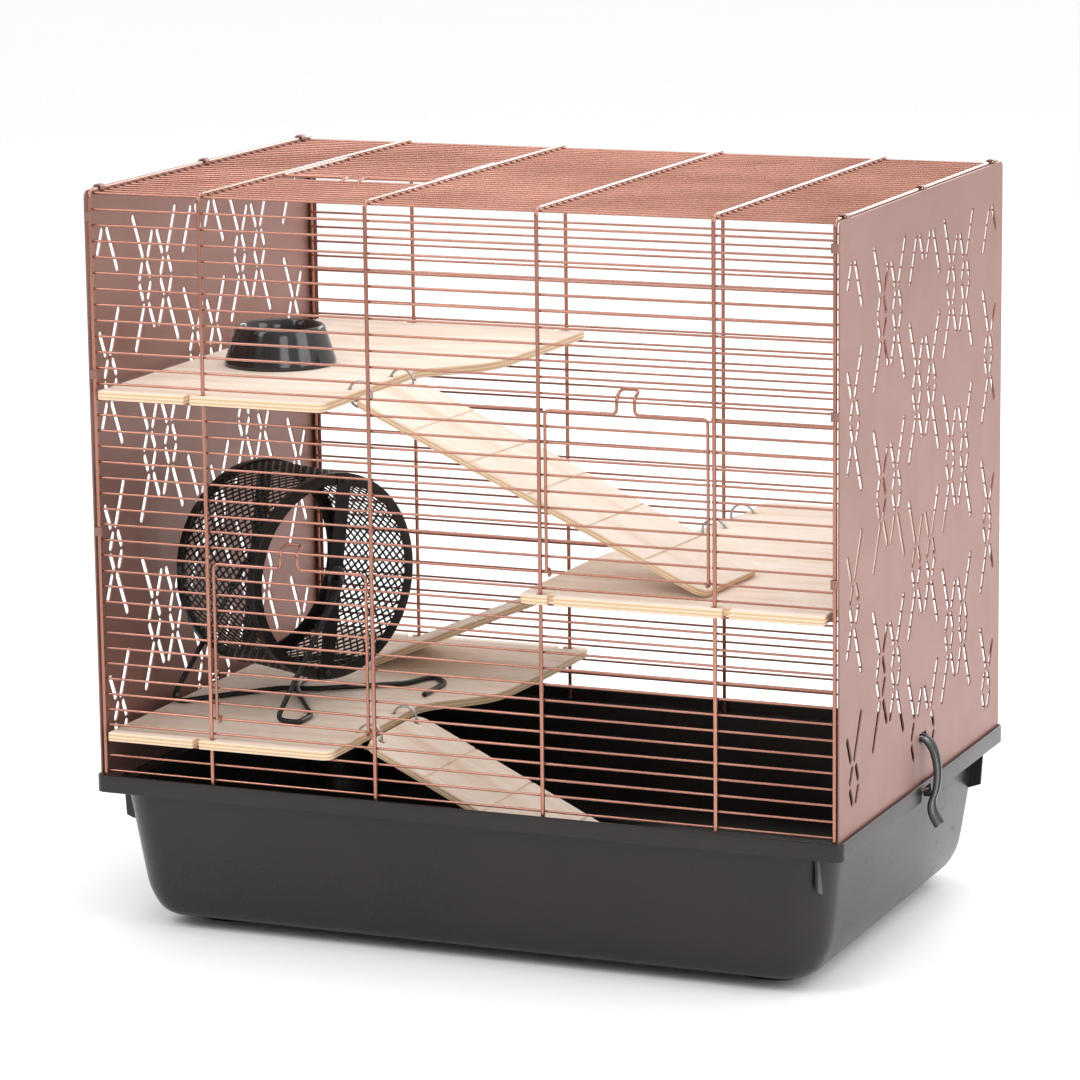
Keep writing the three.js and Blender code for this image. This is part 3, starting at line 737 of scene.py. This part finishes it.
panel = {
    "inner": 285.7,
    "thickness": 1.2,
    "half": 186,
    "top": 549.4,
    "bottom": wires["bottom"],
    "corner": 5,
    "slitWidth": 5.2,
    "lean": 25,
    "land": 1.0,
    "strokes": (38, 22, 15),
    "columnStep": 79,
    "rowStep": 128,
    "firstRow": 216,
    "diamondStep": 17,
    "clipSlot": 8.6,
    "tabHeights": (300, 416, 531),
    "tabHalf": 3.2,
}


def slit(y, z, length, lean):
    # a stadium outline, leaning from the upright
    radius = panel["slitWidth"] / 2
    reach = length / 2 - radius
    turn = Matrix.Rotation(math.radians(lean), 2)
    loop = []
    for end, start in ((1, 0), (-1, 180)):
        for i in range(6):
            angle = math.radians(start + i * 36)
            point = Vector((radius * math.cos(angle), end * reach + radius * math.sin(angle)))
            loop.append(tuple(turn @ point + Vector((y, z))))
    return loop


def zigzag(y, z, facing, lengths):
    # leaning slits side by side with their feet level at z: facing 1 opens upwards, -1 hangs down
    p = panel
    lean = math.radians(p["lean"])
    steps = [length * math.sin(lean) + p["slitWidth"] + p["land"] for length in lengths]
    slits = []
    y -= sum(steps) / 2
    for i, (length, step) in enumerate(zip(lengths, steps)):
        lift = facing * length * math.cos(lean) / 2
        side = facing if i % 2 == 0 else -facing
        slits.append(slit(y + step / 2, z + lift, length, side * p["lean"]))
        y += step
    return slits


def panelSlits():
    # clusters in a chequered layout: a W, a pair of small diamonds below it and an M below those
    p = panel
    long, short, small = p["strokes"]
    slits = []
    for column in range(-2, 3):
        y = column * p["columnStep"]
        count = 3 + (column + 1) % 2
        for row in range(count):
            z = p["firstRow"] + (row - (0.5 if column % 2 == 0 else 0)) * p["rowStep"]
            edge = abs(column) == 2
            upper = (short, long) if column < 0 else (long, short)
            lengths = upper if edge else (long, short, short, long)
            shift = 0 if not edge else -4 * column / 2
            diamond = small * math.cos(math.radians(p["lean"])) + 1
            if z + diamond + long < p["top"] - 8:
                slits += zigzag(y + shift, z + diamond + 2, 1, lengths)
            if z - diamond - long > p["bottom"] + 8:
                slits += zigzag(y + shift, z - diamond - 2, -1, lengths)
            if not p["bottom"] + 30 < z < p["top"] - 24:
                continue
            for side in (0,) if edge else (-1, 1):
                spot = y + shift + side * p["diamondStep"]
                slits += zigzag(spot, z - diamond, 1, (small, small))
                slits += zigzag(spot, z + diamond, -1, (small, small))
    near = p["clipSlot"]
    return [s for s in slits if all(abs(y) > near + 3 or z > 162 for y, z in s)]


def roundedRectangle(x0, y0, x1, y1, corner, steps=6):
    loop = []
    for cx, cy, start in (
        (x1 - corner, y1 - corner, 0),
        (x0 + corner, y1 - corner, 90),
        (x0 + corner, y0 + corner, 180),
        (x1 - corner, y0 + corner, 270),
    ):
        for i in range(steps + 1):
            angle = math.radians(start + 90 * i / steps)
            loop.append((cx + corner * math.cos(angle), cy + corner * math.sin(angle)))
    return loop


def makePanels():
    p = panel
    outline = roundedRectangle(-p["half"], p["bottom"], p["half"], p["top"], p["corner"])
    clipSlot = roundedRectangle(-p["clipSlot"], 148, p["clipSlot"], 154.4, 1.5, 3)
    # stand the sheet up: its X runs along the cage's Y, its thickness along the cage's X
    upright = Matrix(((0, 0, 1, 0), (1, 0, 0, 0), (0, 1, 0, 0), (0, 0, 0, 1)))
    outer = p["inner"] + p["thickness"]
    wrap = wires["wallY"] + wires["hoopRadius"] + 0.15
    for name, node, turn in (("rightPanelSheet", "right_panel", 0), ("leftPanelSheet", "left_panel", math.pi)):
        mesh = plateMesh(outline, [clipSlot, *panelSlits()], p["thickness"], 0.25)
        mesh.transform(Matrix.Translation((p["inner"] / perMetre, 0, 0)) @ upright)
        mesh.transform(Matrix.Rotation(turn, 4, "Z"))
        finishPiece(name, mesh, rosePanel, "cage", [node], sharp=20)
        # clamps folded round the end hoop, and the return along the back edge
        tabs = []
        for side in (-1, 1):
            for z in p["tabHeights"]:
                fold = [(outer - 0.5, side * (p["half"] - 2)), (outer - 0.6, side * (wrap + 0.7)),
                        (280.9, side * (wrap + 0.7)), (280.6, side * (wrap - 2.2))]
                tabs.append(foldedStrip(softCorners(fold, 1.6, 4), z - p["tabHalf"], z + p["tabHalf"]))
        tabShape = joinShapes(tabs)
        over = wires["roofZ"] + wires["hoopRadius"] + 0.15
        for y in (-168, 0, 168):
            fold = [(outer - 0.5, over - 3), (outer - 0.6, over + 0.7), (280.9, over + 0.7), (280.6, over - 2.2)]
            strip = foldedStrip(softCorners(fold, 1.6, 4), y - p["tabHalf"], y + p["tabHalf"])
            tip = Matrix(((1, 0, 0, 0), (0, 0, 1, 0), (0, 1, 0, 0), (0, 0, 0, 1)))
            tabShape = joinShapes([tabShape, turned(strip, tip)])
        backY = 187 if turn == 0 else -187
        flange = block((279.6, min(backY, backY - math.copysign(1, backY)), p["bottom"] + 12),
                       (outer - 0.4, max(backY, backY - math.copysign(1, backY)), p["top"] - 6))
        tabShape = joinShapes([tabShape, flange])
        verts, faces = turned(tabShape, Matrix.Rotation(turn, 4, "Z"))
        makePiece(name.replace("Sheet", "Folds"), verts, faces, rosePanel, "cage", sharp=40)


def foldedStrip(path, start, end, half=0.5):
    # sheet bent along a path in XY, running from start to end in Z
    verts, faces = [], []
    points = [Vector(p) for p in path]
    for i, point in enumerate(points):
        along = (points[min(i + 1, len(points) - 1)] - points[max(i - 1, 0)]).normalized()
        normal = Vector((-along.y, along.x)) * half
        for corner in (point + normal, point - normal):
            verts += [(corner.x, corner.y, start), (corner.x, corner.y, end)]
    for i in range(len(points) - 1):
        a, b = i * 4, i * 4 + 4
        faces += [(a, b, b + 1, a + 1), (a + 2, a + 3, b + 3, b + 2)]
        faces += [(a, a + 2, b + 2, b), (a + 1, b + 1, b + 3, a + 3)]
    last = len(verts) - 4
    faces += [(0, 1, 3, 2), (last, last + 2, last + 3, last + 1)]
    return verts, faces


makePanels()
print("panels made")

# side clips

clip = {"width": 15, "groove": 5, "thickness": 2.6}


def makeClips():
    # the arm as seen from the front: out from the slot, bowed, into the pocket, then the thumb tab
    spine = [(-1.6, 0.2), (3.6, -0.6), (9.6, -9), (12.7, -24), (11.2, -39), (7.6, -47), (8.6, -56), (14.0, -64.4)]
    path = softCorners(spine, 9, 5)
    half = clip["width"] / 2
    groove = clip["groove"] / 2
    # cross-section of the strap, round at its edges, with a groove down the outer face
    thick = clip["thickness"] / 2
    section = [
        (-half + 1.2, -thick), (half - 1.2, -thick), (half, -thick * 0.4), (half, thick * 0.4), (half - 1.2, thick),
        (groove + 0.8, thick), (groove, thick - 0.9), (-groove, thick - 0.9), (-groove - 0.8, thick),
        (-half + 1.2, thick), (-half, thick * 0.4), (-half, -thick * 0.4),
    ]
    points = [Vector(p) for p in path]
    verts, faces = [], []
    count = len(section)
    for i, point in enumerate(points):
        along = (points[min(i + 1, len(points) - 1)] - points[max(i - 1, 0)]).normalized()
        normal = Vector((-along.y, along.x))
        share = i / (len(points) - 1)
        flare = 1 + 0.3 * min(1, max(0, share - 0.72) * 10)
        for across, depth in section:
            spot = point + normal * depth
            verts.append((spot.x, across * flare, spot.y))
    for i in range(len(points) - 1):
        for k in range(count):
            n = (k + 1) % count
            faces.append((i * count + k, i * count + n, (i + 1) * count + n, (i + 1) * count + k))
    faces += [tuple(range(count)), tuple((len(points) - 1) * count + k for k in range(count - 1, -1, -1))]
    tooth = block((2.6, -4.5, -43), (10.5, 4.5, -40))
    verts, faces = joinShapes([(verts, faces), tooth])
    for name, node, turn in (("rightClipArm", "right_clip", 0), ("leftClipArm", "left_clip", math.pi)):
        where, _ = jointAt(node + "_hinge")
        matrix = Matrix.Translation(where) @ Matrix.Rotation(turn, 4, "Z")
        arm = makePiece(name, verts, faces, clipPlastic, node, [node], matrix, 50)
        soften(arm, 0.35)


def soften(piece, width, segments=2, angle=40):
    # rounds the sharp edges of a finished piece
    bevel = piece.modifiers.new("bevel", "BEVEL")
    bevel.width, bevel.segments = width / perMetre, segments
    bevel.limit_method, bevel.angle_limit = "ANGLE", math.radians(angle)
    return piece


makeClips()
print("clips made")

# plywood shelves

shelf = {"edge": 191, "wall": 277, "narrow": 98, "wide": 51, "corner": 8, "slot": 2.7, "mouth": 10}
ring = {"radius": 9.5, "wire": 0.85, "hole": 2.4, "spacing": 62, "pitch": 1.7}


def bezier(a, b, c, d, steps):
    points = []
    for i in range(1, steps + 1):
        t = i / steps
        weights = ((1 - t) ** 3, 3 * t * (1 - t) ** 2, 3 * t * t * (1 - t), t**3)
        points.append(tuple(sum(w * p[k] for w, p in zip(weights, (a, b, c, d))) for k in (0, 1)))
    return points


def shelfOutline():
    s = shelf
    edge, wall, corner = s["edge"], s["wall"], s["corner"]
    path = [(-wall, -edge), (-s["narrow"], -edge), (-s["narrow"], -42)]
    front = softCorners(path, corner, 6)
    curve = bezier((-s["narrow"], -42), (-s["narrow"], -8), (-s["wide"] - 7, -6), (-s["wide"] - 4, 40), 22)
    curve += bezier(curve[-1], (-s["wide"] - 2, 70), (-s["wide"], 110), (-s["wide"], edge - corner - 4), 8)
    back = softCorners([curve[-1], (-s["wide"], edge), (-wall, edge)], corner, 6)
    return notched([*front, *curve, *back[1:]])


def notched(loop):
    # hooked notches that let the shelf slide in past the uprights, cut into its front and back edges
    s = shelf
    inner = wires["wallY"] - wires["hoopRadius"] - 1.2
    outer = wires["wallY"] + wires["hoopRadius"] + 1.2
    half = s["slot"]

    def hook(x, side):
        m = x - s["mouth"]
        edge, near, far = side * s["edge"], side * outer, side * inner
        return [(m - half, edge), (m - half, far), (x + half, far), (x + half, near), (m + half, near), (m + half, edge)]

    hoops = wires["hoopX"]
    front = hook(hoops[1], -1)
    back = [*reversed(hook(hoops[2], 1)), *reversed(hook(hoops[1], 1))]
    return [loop[0], *front, *loop[1:-1], *back, loop[-1]]


def circle(x, y, radius, steps=20):
    return [
        (x + radius * math.cos(2 * math.pi * i / steps), y + radius * math.sin(2 * math.pi * i / steps))
        for i in range(steps)
    ]


def ringHoles(body):
    # where this ramp's rings pass through its shelf
    where, axis = jointAt(body + "_hinge")
    side = Vector((axis.x, axis.y, 0)).normalized()
    down = Vector((-side.y, side.x, 0))
    return [where - down * ring["radius"] + side * hand * ring["spacing"] / 2 for hand in (-1, 1)]


def makeShelves():
    for name, node, body, turn in (
        ("upperLeftShelfPly", "upper_left_shelf", "upper_ramp", 0),
        ("lowerLeftShelfPly", "lower_left_shelf", "lower_ramp", 0),
        ("rightShelfPly", "right_shelf", "middle_ramp", math.pi),
    ):
        low, high = nodeBox(node)
        thickness = high.z - low.z
        back = Matrix.Rotation(-turn, 4, "Z")
        holes = [circle(*(back @ spot).xy, ring["hole"]) for spot in ringHoles(body)]
        mesh = plateMesh(shelfOutline(), holes, thickness, 0.35)
        matrix = Matrix.Translation((0, 0, low.z)) @ Matrix.Rotation(turn, 4, "Z")
        material = plywood(name[0].upper() + name[1:], thickness)
        finishPiece(name, mesh, material, "cage", [node], matrix, 20)


makeShelves()
print("shelves made")

# ramps and their split rings

ramp = {
    "length": 302,
    "half": 47,
    "thickness": 5.5,
    "endToHole": 6,
    "corner": 10,
    "grooves": 5,
    "grooveStep": 50,
    "grooveWidth": 2.2,
    "grooveDepth": 1.1,
    "holeAngle": -30,
}


def rampFrame(node, body):
    # the board's own frame: origin at its ring holes, X down the slope, Z out of its top face
    where, axis = jointAt(body + "_hinge")
    across = -Vector(axis)
    along = across.cross(Vector((0, 0, 1)))
    angle = math.radians(ramp["holeAngle"])
    hole = where + ring["radius"] * (along * math.cos(angle) + Vector((0, 0, 1)) * math.sin(angle))
    low, _ = nodeBox(node)
    reach = ramp["length"] - ramp["endToHole"]
    half = ramp["thickness"] / 2
    slope = math.asin((hole.z - low.z) / math.hypot(reach, half)) - math.atan2(half, reach)
    down = along * math.cos(slope) - Vector((0, 0, 1)) * math.sin(slope)
    up = down.cross(across)
    matrix = Matrix((down, across, up)).transposed().to_4x4()
    matrix.translation = hole
    return matrix


def makeRamp(name, node, body):
    r = ramp
    start, end = -r["endToHole"], r["length"] - r["endToHole"]
    outline = roundedRectangle(start, -r["half"], end, r["half"], r["corner"], 8)
    holes = [circle(0, hand * ring["spacing"] / 2, ring["hole"]) for hand in (-1, 1)]
    mesh = mergedMesh(plateMesh(outline, holes, r["thickness"], 0.45))
    cutters = []
    for i in range(1, r["grooves"] + 1):
        x = i * r["grooveStep"] - 4
        half, depth = r["grooveWidth"] / 2, r["grooveDepth"]
        top = r["thickness"]
        side = r["half"] + 2
        verts = [(x + dx, y, z) for y in (-side, side)
                 for dx, z in ((-half, top + 1), (-half, top - depth * 0.5), (0, top - depth), (half, top - depth * 0.5), (half, top + 1))]
        faces = [(0, 1, 2, 3, 4), (9, 8, 7, 6, 5), *((k, k + 5, (k + 1) % 5 + 5, (k + 1) % 5) for k in range(5))]
        cutters.append((verts, faces))
    mesh = carve(mesh, cutters)
    matrix = rampFrame(node, body) @ Matrix.Translation((0, 0, -r["thickness"] / 2))
    material = plywood(name[0].upper() + name[1:], r["thickness"])
    finishPiece(name, mesh, material, body, [node], matrix, 20)


def makeRings(node, body):
    # each is a split ring: two close turns of wire
    where, axis = jointAt(body + "_hinge")
    across = -Vector(axis)
    along = across.cross(Vector((0, 0, 1)))
    turnMatrix = Matrix((along, Vector((0, 0, 1)), -across)).transposed().to_4x4()
    for label, hand in (("front", -1), ("rear", 1)):
        coil = []
        turns, steps = 1.93, 84
        for i in range(steps + 1):
            angle = 2 * math.pi * turns * i / steps + 0.5
            drift = (i / steps - 0.5) * ring["pitch"]
            coil.append((ring["radius"] * math.cos(angle), ring["radius"] * math.sin(angle), drift))
        matrix = turnMatrix.copy()
        matrix.translation = where + across * hand * ring["spacing"] / 2
        verts, faces = tube(coil, ring["wire"], 10)
        name = body.split("_")[0] + "Ramp" + label.capitalize() + "SplitRing"
        makePiece(name, verts, faces, silver, body, [f"{node}_{label}_ring"], matrix, 60)


for level in ("upper", "lower", "middle"):
    makeRamp(level + "RampPly", level + "_ramp", level + "_ramp")
    makeRings(level + "_ramp", level + "_ramp")
print("ramps made")

# running wheel

wheel = {
    "radius": 78.4,
    "width": 91.5,
    "sheet": 1.0,
    "flange": 8.5,
    "band": 6.5,
    "bar": 6.5,
    "tilt": 8.5,
    "hub": 8.5,
    "mesh": 7.1,
    "strand": 1.35,
    "wire": 2,
    "legReach": 56,
}
hubAt, hubAxis = jointAt("wheel_spin")
acrossWheel = Vector((0, 0, 1)).cross(hubAxis).normalized()
# local X along the axle, Y across it, Z up
wheelFrame = Matrix((hubAxis, acrossWheel, Vector((0, 0, 1)))).transposed().to_4x4()
wheelFrame.translation = hubAt
# a lathe shape has its axis on Z: lay it along the axle
layDown = Matrix(((0, 0, 1, 0), (1, 0, 0, 0), (0, 1, 0, 0), (0, 0, 0, 1)))
spun = wheelFrame @ Matrix.Rotation(math.radians(-wheel["tilt"]), 4, "X")


def makeRim(name, node, side):
    w = wheel
    face, sheet = w["width"] / 2, w["sheet"]
    outer, inner = w["radius"], w["radius"] - w["flange"]
    profile = [
        (inner, face), (outer, face), (outer, face - w["band"]), (outer - sheet, face - w["band"]),
        (outer - sheet, face - sheet), (inner, face - sheet), (inner, face),
    ]
    rounded = softCorners(profile, 0.6, 3)[:-1]
    shape = lathe([(r, side * z) for r, z in rounded], 120)
    verts, faces = turned(shape, layDown)
    makePiece(name, verts, faces, blackSteel, "wheel", [node], spun, 40)


def makeMeshDrum():
    # expanded metal: diamonds round the drum, each one a frame of narrow strands
    w = wheel
    radius = w["radius"] - w["sheet"] - 0.5
    half = w["width"] / 2 - w["sheet"] - 0.2
    around = round(2 * math.pi * radius / w["mesh"])
    rows = round(2 * half / w["mesh"] * 0.9)
    stepX = 2 * half / rows
    work = bmesh.new()
    grid = {}

    def corner(column, row):
        column %= 2 * around
        row = max(0, min(2 * rows, row))
        if (column, row) not in grid:
            angle = math.pi * column / around
            x = -half + row * stepX / 2
            grid[column, row] = work.verts.new(
                Vector((x, radius * math.cos(angle), radius * math.sin(angle))) / perMetre
            )
        return grid[column, row]

    for row in range(-1, 2 * rows):
        for column in range(2 * around):
            if (row + column) % 2:
                continue
            loop = [corner(column, row), corner(column + 1, row + 1), corner(column, row + 2), corner(column - 1, row + 1)]
            unique = list(dict.fromkeys(loop))
            if len(unique) > 2:
                try:
                    work.faces.new(unique)
                except ValueError:
                    pass
    diamonds = list(work.faces)
    bmesh.ops.recalc_face_normals(work, faces=diamonds)
    work.normal_update()
    bmesh.ops.inset_individual(work, faces=diamonds, thickness=w["strand"] / 2 / perMetre, use_even_offset=True)
    bmesh.ops.delete(work, geom=diamonds, context="FACES")
    mesh = bpy.data.meshes.new("drum")
    work.to_mesh(mesh)
    work.free()
    piece = finishPiece("meshDrum", mesh, blackSteel, "wheel", ["wheel_mesh_drum"], spun, 40)
    solid = piece.modifiers.new("thickness", "SOLIDIFY")
    solid.thickness, solid.offset = 0.9 / perMetre, 0


def makeBar(name, node, side):
    w = wheel
    face = side * w["width"] / 2
    low, high = sorted((face + side * 0.1, face + side * 1.6))
    reach = w["radius"] - 1
    shapes = [block((low, -w["bar"], -reach), (high, w["bar"], reach))]
    washer = [(3, 0.2), (w["hub"], 0.2), (w["hub"], 1.4), (w["hub"] - 1, 2.2), (3, 2.2), (3, 0.2)]
    verts, faces = lathe([(r, face + side * (z + 1.3)) for r, z in washer[:-1]], 32)
    shapes.append(turned((verts, faces), layDown))
    # rivets that hold the bar to the rim
    for end in (-1, 1):
        rivet = lathe([(0, 2.6), (1.6, 2.3), (2.4, 1.4), (2.4, 0), (0, 0)], 20)
        spot = Matrix.Translation((face + side * 1.3, 0, end * (reach - 4.5)))
        flip = Matrix.Rotation(math.pi / 2 * side, 4, "Y")
        shapes.append(turned(rivet, spot @ flip))
    verts, faces = joinShapes(shapes)
    bar = makePiece(name, verts, faces, blackSteel, "wheel", [node], spun, 40)
    soften(bar, 0.3)


def makeStand():
    w = wheel
    radius = w["wire"]
    low, _ = nodeBox("wheel_stand")
    ground = low.z + radius - hubAt.z
    shapes = []
    for side, foot in ((1, [(67, -76), (86, -72), (76, -50)]), (-1, [(46, -84), (30, -90), (26, -66)])):
        path = [
            (side * (w["width"] / 2 - 3), 0, 0),
            (side * w["legReach"], 0, 0),
            *((side * along, across, ground) for along, across in foot),
            (side * 10, -8, ground),
            (-side * 10, 8, ground),
            (-side * 46, 68, ground),
            (-side * 44, 99, ground),
            (-side * 66, 92, ground),
            (-side * 84, 54, ground),
        ]
        shapes.append(tube(softCorners(path, 7, 6), radius, 12))
    verts, faces = joinShapes(shapes)
    makePiece("standWire", verts, faces, blackSteel, "stand", ["wheel_stand"], wheelFrame, 60)


makeRim("nearRim", "wheel_near_rim", 1)
makeRim("farRim", "wheel_far_rim", -1)
makeMeshDrum()
makeBar("nearBar", "wheel_near_bar", 1)
makeBar("farBar", "wheel_far_bar", -1)
makeStand()
print("wheel made")

# food bowl

bowl = {"base": 42, "top": 32.5, "height": 29, "wall": 3}


def makeBowl():
    b = bowl
    low, high = nodeBox("food_bowl")
    base, top, height, wall = b["base"], b["top"], b["height"], b["wall"]
    profile = [
        (0, 1.2), (base - 5, 1.2), (base - 4, 0), (base - 0.4, 0), (base, 2.2), (top + 2, height - 3.5),
        (top + 0.6, height), (top - wall + 0.5, height), (top - wall - 1.5, height - 5), (top - wall - 4, 9), (0, 5),
    ]
    path = softCorners(profile, 1.3, 4)
    matrix = Matrix.Translation(((low.x + high.x) / 2, (low.y + high.y) / 2, low.z))
    verts, faces = lathe(path, 96)
    makePiece("bowlBody", verts, faces, bowlGlaze, "bowl", ["food_bowl"], matrix, 40)


makeBowl()
print("bowl made")

# studio

studio = {
    "cameraAt": (1.2797, -3.0777, 0.9436),
    "azimuth": 22.77,
    "elevation": 11.30,
    "roll": -0.66,
    "lens": 152.5,
    "floor": (0.94, 0.94, 0.94),
    "sky": (0.3, 1.0),
    "skyLean": (0.3, 0.3, 0.75),
    "world": 1.5,
}


def makeFloor():
    shader = Shader("paleFloor")
    tone = shader.noise(shader.place(), 2, 3)
    floor = studio["floor"]
    shader.set("Base Color", shader.blend(tone, floor, tuple(c * 0.985 for c in floor)))
    shader.set("Roughness", 0.7 + tone * 0.1)
    shader.set("Specular IOR Level", 0.2)
    mesh = bpy.data.meshes.new("floor")
    size = 30
    mesh.from_pydata([(-size, -size, 0), (size, -size, 0), (size, size, 0), (-size, size, 0)], [], [(0, 1, 2, 3)])
    mesh.materials.append(shader.material)
    floorPiece = bpy.data.objects.new("studioFloor", mesh)
    bpy.context.collection.objects.link(floorPiece)


def areaLight(name, place, aim, size, power):
    light = bpy.data.lights.new(name, "AREA")
    light.shape, light.size, light.size_y = "RECTANGLE", *size
    light.energy = power
    lamp = bpy.data.objects.new(name, light)
    lamp.location = place
    lamp.rotation_euler = (Vector(aim) - Vector(place)).to_track_quat("-Z", "Y").to_euler()
    bpy.context.collection.objects.link(lamp)


def makeStudio():
    s = studio
    makeFloor()
    world = bpy.data.worlds.new("studioWorld")
    world.use_nodes = True
    # brighter overhead and to the right, darker low down in front, as under a large softbox
    tree = world.node_tree
    background = tree.nodes["Background"]
    point = tree.nodes.new("ShaderNodeTexCoord")
    split = tree.nodes.new("ShaderNodeVectorMath")
    split.operation = "DOT_PRODUCT"
    split.inputs[1].default_value = s["skyLean"]
    ramp = tree.nodes.new("ShaderNodeValToRGB")
    ramp.color_ramp.elements[0].position, ramp.color_ramp.elements[1].position = 0, 0.9
    for element, grey in zip(ramp.color_ramp.elements, s["sky"]):
        element.color = (grey, grey, grey, 1)
    tree.links.new(point.outputs["Generated"], split.inputs[0])
    tree.links.new(split.outputs["Value"], ramp.inputs["Fac"])
    tree.links.new(ramp.outputs["Color"], background.inputs["Color"])
    background.inputs["Strength"].default_value = s["world"]
    scene = bpy.context.scene
    scene.world = world
    areaLight("keyLight", (-1.6, -1.9, 2.4), (0, 0, 0.25), (1.6, 1.6), 34)
    areaLight("topLight", (0.2, 0.2, 2.6), (0, 0, 0.3), (2.2, 1.6), 18)
    areaLight("backLight", (0.5, 3.2, 1.7), (0, 0, 0.4), (2.6, 0.9), 34)
    areaLight("rightLight", (2.4, -0.4, 1.2), (0.1, 0, 0.25), (1.2, 1.6), 18)
    areaLight("fillLight", (1.7, -2.7, 1.7), (-0.2, 0, 0.35), (1.1, 1.1), 12)
    camera = bpy.data.cameras.new("camera")
    camera.lens, camera.sensor_width = s["lens"], 36
    eye = bpy.data.objects.new("camera", camera)
    azimuth, elevation = math.radians(s["azimuth"]), math.radians(s["elevation"])
    forward = Vector((-math.sin(azimuth) * math.cos(elevation), math.cos(azimuth) * math.cos(elevation), -math.sin(elevation)))
    turn = forward.to_track_quat("-Z", "Y").to_matrix().to_4x4() @ Matrix.Rotation(math.radians(s["roll"]), 4, "Z")
    turn.translation = s["cameraAt"]
    eye.matrix_world = turn
    bpy.context.collection.objects.link(eye)
    scene.camera = eye
    scene.view_settings.view_transform = "Standard"


makeStudio()
print("studio made")
